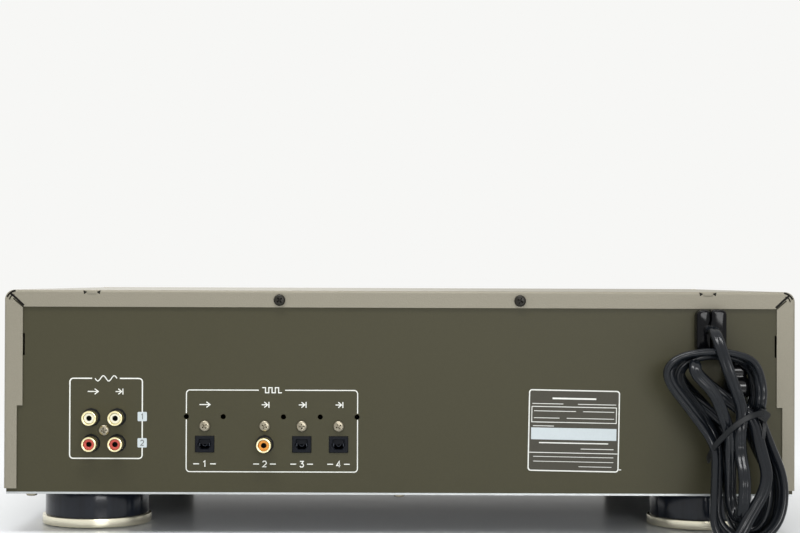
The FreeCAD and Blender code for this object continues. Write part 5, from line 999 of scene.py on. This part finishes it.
def facing_at(stations, share):
    """How far the flat side is turned, at a share of the spline's length in its own parameter."""
    spans = len(stations) - 2
    u = share * spans
    marks = [0.0] + [i - 0.5 for i in range(1, spans + 1)] + [float(spans)]
    for i in range(len(marks) - 1):
        if u <= marks[i + 1]:
            local = (u - marks[i]) / (marks[i + 1] - marks[i])
            return mix(stations[i][3], stations[i + 1][3], local * local * (3 - 2 * local))
    return stations[-1][3]


def flat_section():
    """Flat two-core section with a shallow groove down each face: (across, through) points."""
    core = CORD_THICK / 2
    offset = CORD_WIDTH / 2 - core
    points = []
    for side in (1, -1):
        for i in range(9):
            t = math.radians(-90 + 22.5 * i)
            points.append((side * (offset + core * math.cos(t)), side * core * math.sin(t)))
        for a in (0.7, 0.35, 0.0, -0.35, -0.7):
            groove = 0.32 * MM * math.exp(-(a * offset / (0.5 * MM)) ** 2)
            points.append((side * offset * a, side * (core + 0.06 * MM - groove)))
    return points


def make_cord():
    """The cord's section drawn along its route, its flat side turned as the stations say."""
    stations = cord_stations()
    path = read_path(stations)
    section = flat_section()
    loops = []
    last, sides = len(path) - 1, len(section)
    across = None
    for i, point in enumerate(path):
        along = (path[min(i + 1, last)] - path[max(i - 1, 0)]).normalized()
        turned = math.radians(facing_at(stations, i / last))
        deep = REARWARD - along * along.y
        held = across and (across - along * across.dot(along)).normalized()
        aim = held or Vector((1, 0, 0))
        if deep.length > LEVEL_RUN:
            deep.normalize()
            aim = deep * math.cos(turned) + deep.cross(along) * math.sin(turned)
        if held:
            aim = mix(held, -aim if aim.dot(held) < 0 else aim, FACING_EASE)
        across = (aim - along * aim.dot(along)).normalized()
        through = along.cross(across)
        loops.append([point + across * a + through * t for a, t in section])
    bm = bmesh.new()
    rings = loft(bm, loops)
    spots = {v: (k // sides, k % sides) for k, v in enumerate(v for ring in rings for v in ring)}
    layer = bm.loops.layers.uv.new("along")
    for face in bm.faces:
        wraps = len({spots[v][1] for v in face.verts} & {0, sides - 1}) == 2
        for loop in face.loops:
            i, j = spots[loop.vert]
            loop[layer].uv = (i / PATTERN_RINGS, (sides if wraps and j == 0 else j) / sides)
    cord = piece("mains_cord", bm, "cord_vinyl", angle=60)
    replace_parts(cord, "cord_lead", "cord_hank")
    return cord, path


def tie_spot(t):
    """Point of the band at an angle round the bundle: it sags at its left end and bows up outside."""
    c, d = (math.copysign(abs(f(t)) ** 0.8, f(t)) for f in (math.cos, math.sin))
    x, depth = TIE_AT[0] + TIE_SHIFT + TIE_HALF * c, TIE_DEPTH + (TIE_OUT if d > 0 else TIE_IN) * d
    sag = TIE_SAG * max(0.0, c) ** 3 * max(0.0, min(1.0, 0.55 - 0.7 * d))
    bow = TIE_BOW * (1 - c * c) * max(0.0, d)
    return rear(x, depth, tie_height(x) - sag + bow)


def make_tie():
    """Flat band drawn round the bundle, its lock head in front on the right and the end hanging from it."""
    spots = [tie_spot(2 * math.pi * i / TIE_STEPS) for i in range(TIE_STEPS)]
    centre = rear(TIE_AT[0], TIE_DEPTH, TIE_AT[1])
    loops = []
    for i, spot in enumerate(spots):
        along = (spots[(i + 1) % TIE_STEPS] - spots[i - 1]).normalized()
        out = spot - centre
        out -= along * out.dot(along)
        out.z *= 0.2
        out.normalize()
        up = along.cross(out)
        loops.append([spot + out * TIE_THICK * a + up * TIE_WIDE * b
                      for a, b in ((0, -0.5), (1, -0.42), (1, 0.42), (0, 0.5))])
    bm = bmesh.new()
    rings = add_loops(bm, loops)
    skin(bm, rings + rings[:1])
    turn = Matrix.Rotation(math.atan(TIE_SLOPE), 4, "Y")
    for outline, place, deep in ((rounded_mm(6.0, 5.6, 1.1, 4), rear(-193.8, 25.5, 68.6), 5.0),
                                 (rounded_mm(3.4, 2.9, 0.5, 3), rear(-193.8, 30.6, 68.6), 0.5)):
        loft(bm, [[place + turn @ Vector((x, y * MM, z)) for x, z in outline] for y in (0, deep)])
    loft(bm, [[rear(x + dx, depth + dy, z) for dx, dy in ((-1.0, 0), (1.0, 0), (1.0, 0.9), (-1.0, 0.9))]
              for x, depth, z in ((-194.6, 27.0, 66.5), (-194.4, 28.4, 62.0), (-193.6, 28.6, 56.0))])
    tie = piece("cord_band", bm, "tie_plastic", angle=40)
    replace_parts(tie, "cord_tie")
    return tie


def make_plug():
    """Moulded plug body with a waisted grip, its short sleeve and two blades."""
    low, high = PLUG_LOW, PLUG_HIGH
    centre = (low + high) / 2
    wide, deep = high.x - low.x, high.y - low.y
    foot = high.z - PLUG_BODY
    bm = bmesh.new()
    loft(bm, [[(centre.x + x, centre.y + y, mix(foot, high.z, share))
               for x, y in rounded(wide * size, deep * size, min(wide, deep) * size * 0.35)]
              for share, size in PLUG_GRIP])
    plug = piece("plug_body", bm, "plug_plastic", angle=50)
    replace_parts(plug, "plug")
    bm = bmesh.new()
    for side in (-1, 1):
        prism(bm, rounded(1.5 * MM, foot - low.z, 0.5 * MM, 3),
              (centre.y - BLADE_HALF, centre.y + BLADE_HALF),
              (centre.x + side * BLADE_X, (foot + low.z) / 2))
    blades = piece("plug_blades", bm, "zinc_steel")
    return plug, blades


def make_gland():
    """Bushing of two domed halves that meet on a slanting line, with a lip where the cord comes out."""
    # outlines in mm, the half on the left in the view first
    left = [(-161.8, 104.0), (-161.8, 121.0), (-162.6, 123.2), (-164.6, 124.3), (-167.4, 124.3),
            (-169.0, 123.4), (-169.35, 119.0), (-168.45, 116.4), (-169.55, 113.4), (-169.5, 102.6),
            (-168.4, 101.0), (-164.2, 100.8), (-162.4, 101.8)]
    right = [(-169.9, 102.4), (-169.9, 113.2), (-168.8, 116.2), (-169.7, 119.2), (-169.7, 123.6),
             (-170.6, 124.4), (-176.0, 124.4), (-177.6, 123.6), (-178.2, 121.8), (-178.2, 103.6),
             (-177.4, 101.6), (-175.6, 100.7), (-171.2, 100.7)]
    dome = ((0.0, 0.0), (0.7, 0.0), (0.86, 0.12), (0.94, 0.4), (0.98, 0.8), (1.0, 1.4))
    bm = bmesh.new()
    for outline, reach in ((left, 8.4), (right, 8.8)):
        cx, cz = ((min(values) + max(values)) / 2 for values in zip(*outline))
        loft(bm, [[rear(cx + (x - cx) * (1 - inset / GLAND_HALF[0]), reach * share,
                        cz + (z - cz) * (1 - inset / GLAND_HALF[1])) for x, z in outline]
                  for share, inset in dome])
    shell = piece("gland_shell", bm, "gland_plastic", angle=50)
    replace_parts(shell, "cord_gland")
    bm = bmesh.new()
    x, z = GLAND_MOUTH
    loft(bm, [at(rounded_mm(7.5 * size, 4.9 * size, 2.4 * size), REAR_Y + depth * MM, (x * MM, z * MM))
              for depth, size in ((5.0, 1.0), (8.5, 1.0), (8.8, 0.97), (8.95, 0.91), (9.0, 0.8))])
    lip = piece("gland_lip", bm, "gland_plastic", angle=50)
    return shell, lip


def make_cord_set():
    cord, path = make_cord()
    tie = make_tie()
    plug, blades = make_plug()
    shell, lip = make_gland()


# ---- surroundings ----
TABLE_HALF = 6.0
TABLE_NEAR, TABLE_FAR = 0.40, 1.1  # where the table starts to turn white and is white
TABLE_COLOUR = (0.86, 0.89, 0.92, 1)
WHITE = (0.93, 0.93, 0.915, 1)
LIGHT_TINT, LIGHT_LEVEL = (1.0, 0.99, 0.97, 1), 0.6
# place, aim, width and height, watts
LIGHTS = {
    "overhead": ((0.15, 0.75, 1.5), (0, 0.1, 0), (1.2, 0.3), 17),
    "behind_camera": ((-0.55, 2.4, 0.55), (0, 0.15, 0.04), (1.0, 0.35), 12),
    "front_fill": ((0.5, -1.8, 1.3), (0, -0.1, 0.06), (1.2, 0.8), 10),
}
CAMERA_DISTANCE = 0.960  # from the rear panel
CAMERA_HEIGHT = 0.140
CAMERA_LENS = 78.64
CAMERA_PITCH, CAMERA_ROLL = math.radians(0.44), math.radians(0.2)


def white_rays(tree):
    """1 for the rays that see the background as plain white: camera, glossy and transmission."""
    rays = add_node(tree, "LightPath")
    value = rays.outputs["Is Camera Ray"]
    for kind in ("Is Glossy Ray", "Is Transmission Ray"):
        value = add_node(tree, "Math", {0: value, 1: rays.outputs[kind]}, operation="MAXIMUM").outputs[0]
    return value


def make_floor():
    """Glossy pale table that fades to the white of the surroundings away from the deck."""
    mesh = bpy.data.meshes.new("table_top")
    corners = [(x, y, 0) for x, y in scaled([(-1, -1), (1, -1), (1, 1), (-1, 1)], TABLE_HALF, TABLE_HALF)]
    mesh.from_pydata(corners, [], [(0, 1, 2, 3)])
    mat, tree, shader = new_material("table_top")
    set_inputs(tree, shader, {"Base Color": TABLE_COLOUR, "Roughness": 0.2, "Specular IOR Level": 0.12})
    white = add_node(tree, "Emission", {"Color": WHITE})
    place = add_node(tree, "NewGeometry")
    away = add_node(tree, "VectorMath", {0: place.outputs["Position"]}, operation="LENGTH")
    beyond = add_node(tree, "MapRange", {"Value": away.outputs["Value"], "From Min": TABLE_NEAR,
                                         "From Max": TABLE_FAR}, interpolation_type="SMOOTHSTEP")
    share = add_node(tree, "Math", {0: beyond.outputs["Result"], 1: white_rays(tree)}, operation="MULTIPLY")
    both = add_node(tree, "MixShader", {"Fac": share.outputs[0], 1: shader.outputs[0], 2: white.outputs[0]})
    set_inputs(tree, tree.nodes["Material Output"], {"Surface": both.outputs[0]})
    mesh.materials.append(mat)
    show(bpy.data.objects.new("table_top", mesh))


def make_world():
    """Even pale surroundings: one level for lighting, white where the eye or a reflection sees it."""
    world = bpy.data.worlds.new("studio")
    bpy.context.scene.world = world
    world.use_nodes = True
    tree = world.node_tree
    tree.nodes.clear()
    seen = add_node(tree, "Background", {"Color": WHITE, "Strength": 1.0})
    light = add_node(tree, "Background", {"Color": LIGHT_TINT, "Strength": LIGHT_LEVEL})
    both = add_node(tree, "MixShader", {"Fac": white_rays(tree), 1: light.outputs[0], 2: seen.outputs[0]})
    add_node(tree, "OutputWorld", {"Surface": both.outputs[0]})


def make_lights():
    for name, (place, aim, size, power) in LIGHTS.items():
        data = bpy.data.lights.new(name, "AREA")
        data.shape = "RECTANGLE"
        data.size, data.size_y = size
        data.energy = power
        lamp = show(bpy.data.objects.new(name, data))
        lamp.location = place
        lamp.rotation_euler = (Vector(aim) - Vector(place)).to_track_quat("-Z", "Y").to_euler()


def make_camera():
    data = bpy.data.cameras.new("photo_view")
    data.lens = CAMERA_LENS
    data.sensor_width = 36.0
    camera = show(bpy.data.objects.new("photo_view", data))
    camera.location = (0.0, REAR_Y + CAMERA_DISTANCE, CAMERA_HEIGHT)
    facing = Matrix.Rotation(math.pi, 4, "Z") @ Matrix.Rotation(math.pi / 2 + CAMERA_PITCH, 4, "X")
    camera.rotation_euler = (facing @ Matrix.Rotation(CAMERA_ROLL, 4, "Z")).to_euler()
    bpy.context.scene.camera = camera


def main():
    bpy.context.scene.view_settings.view_transform = "Standard"
    dress_frame()
    for make in (make_camera, make_cord_set, make_feet, make_screws, make_phono_jacks,
                 make_optical_sockets, make_frames_print, make_labels_print, make_plate,
                 make_cover_marks, make_front_print, make_keys, make_knobs, make_display_segments,
                 make_chips, make_capacitors, make_floor, make_world, make_lights):
        make()


main()
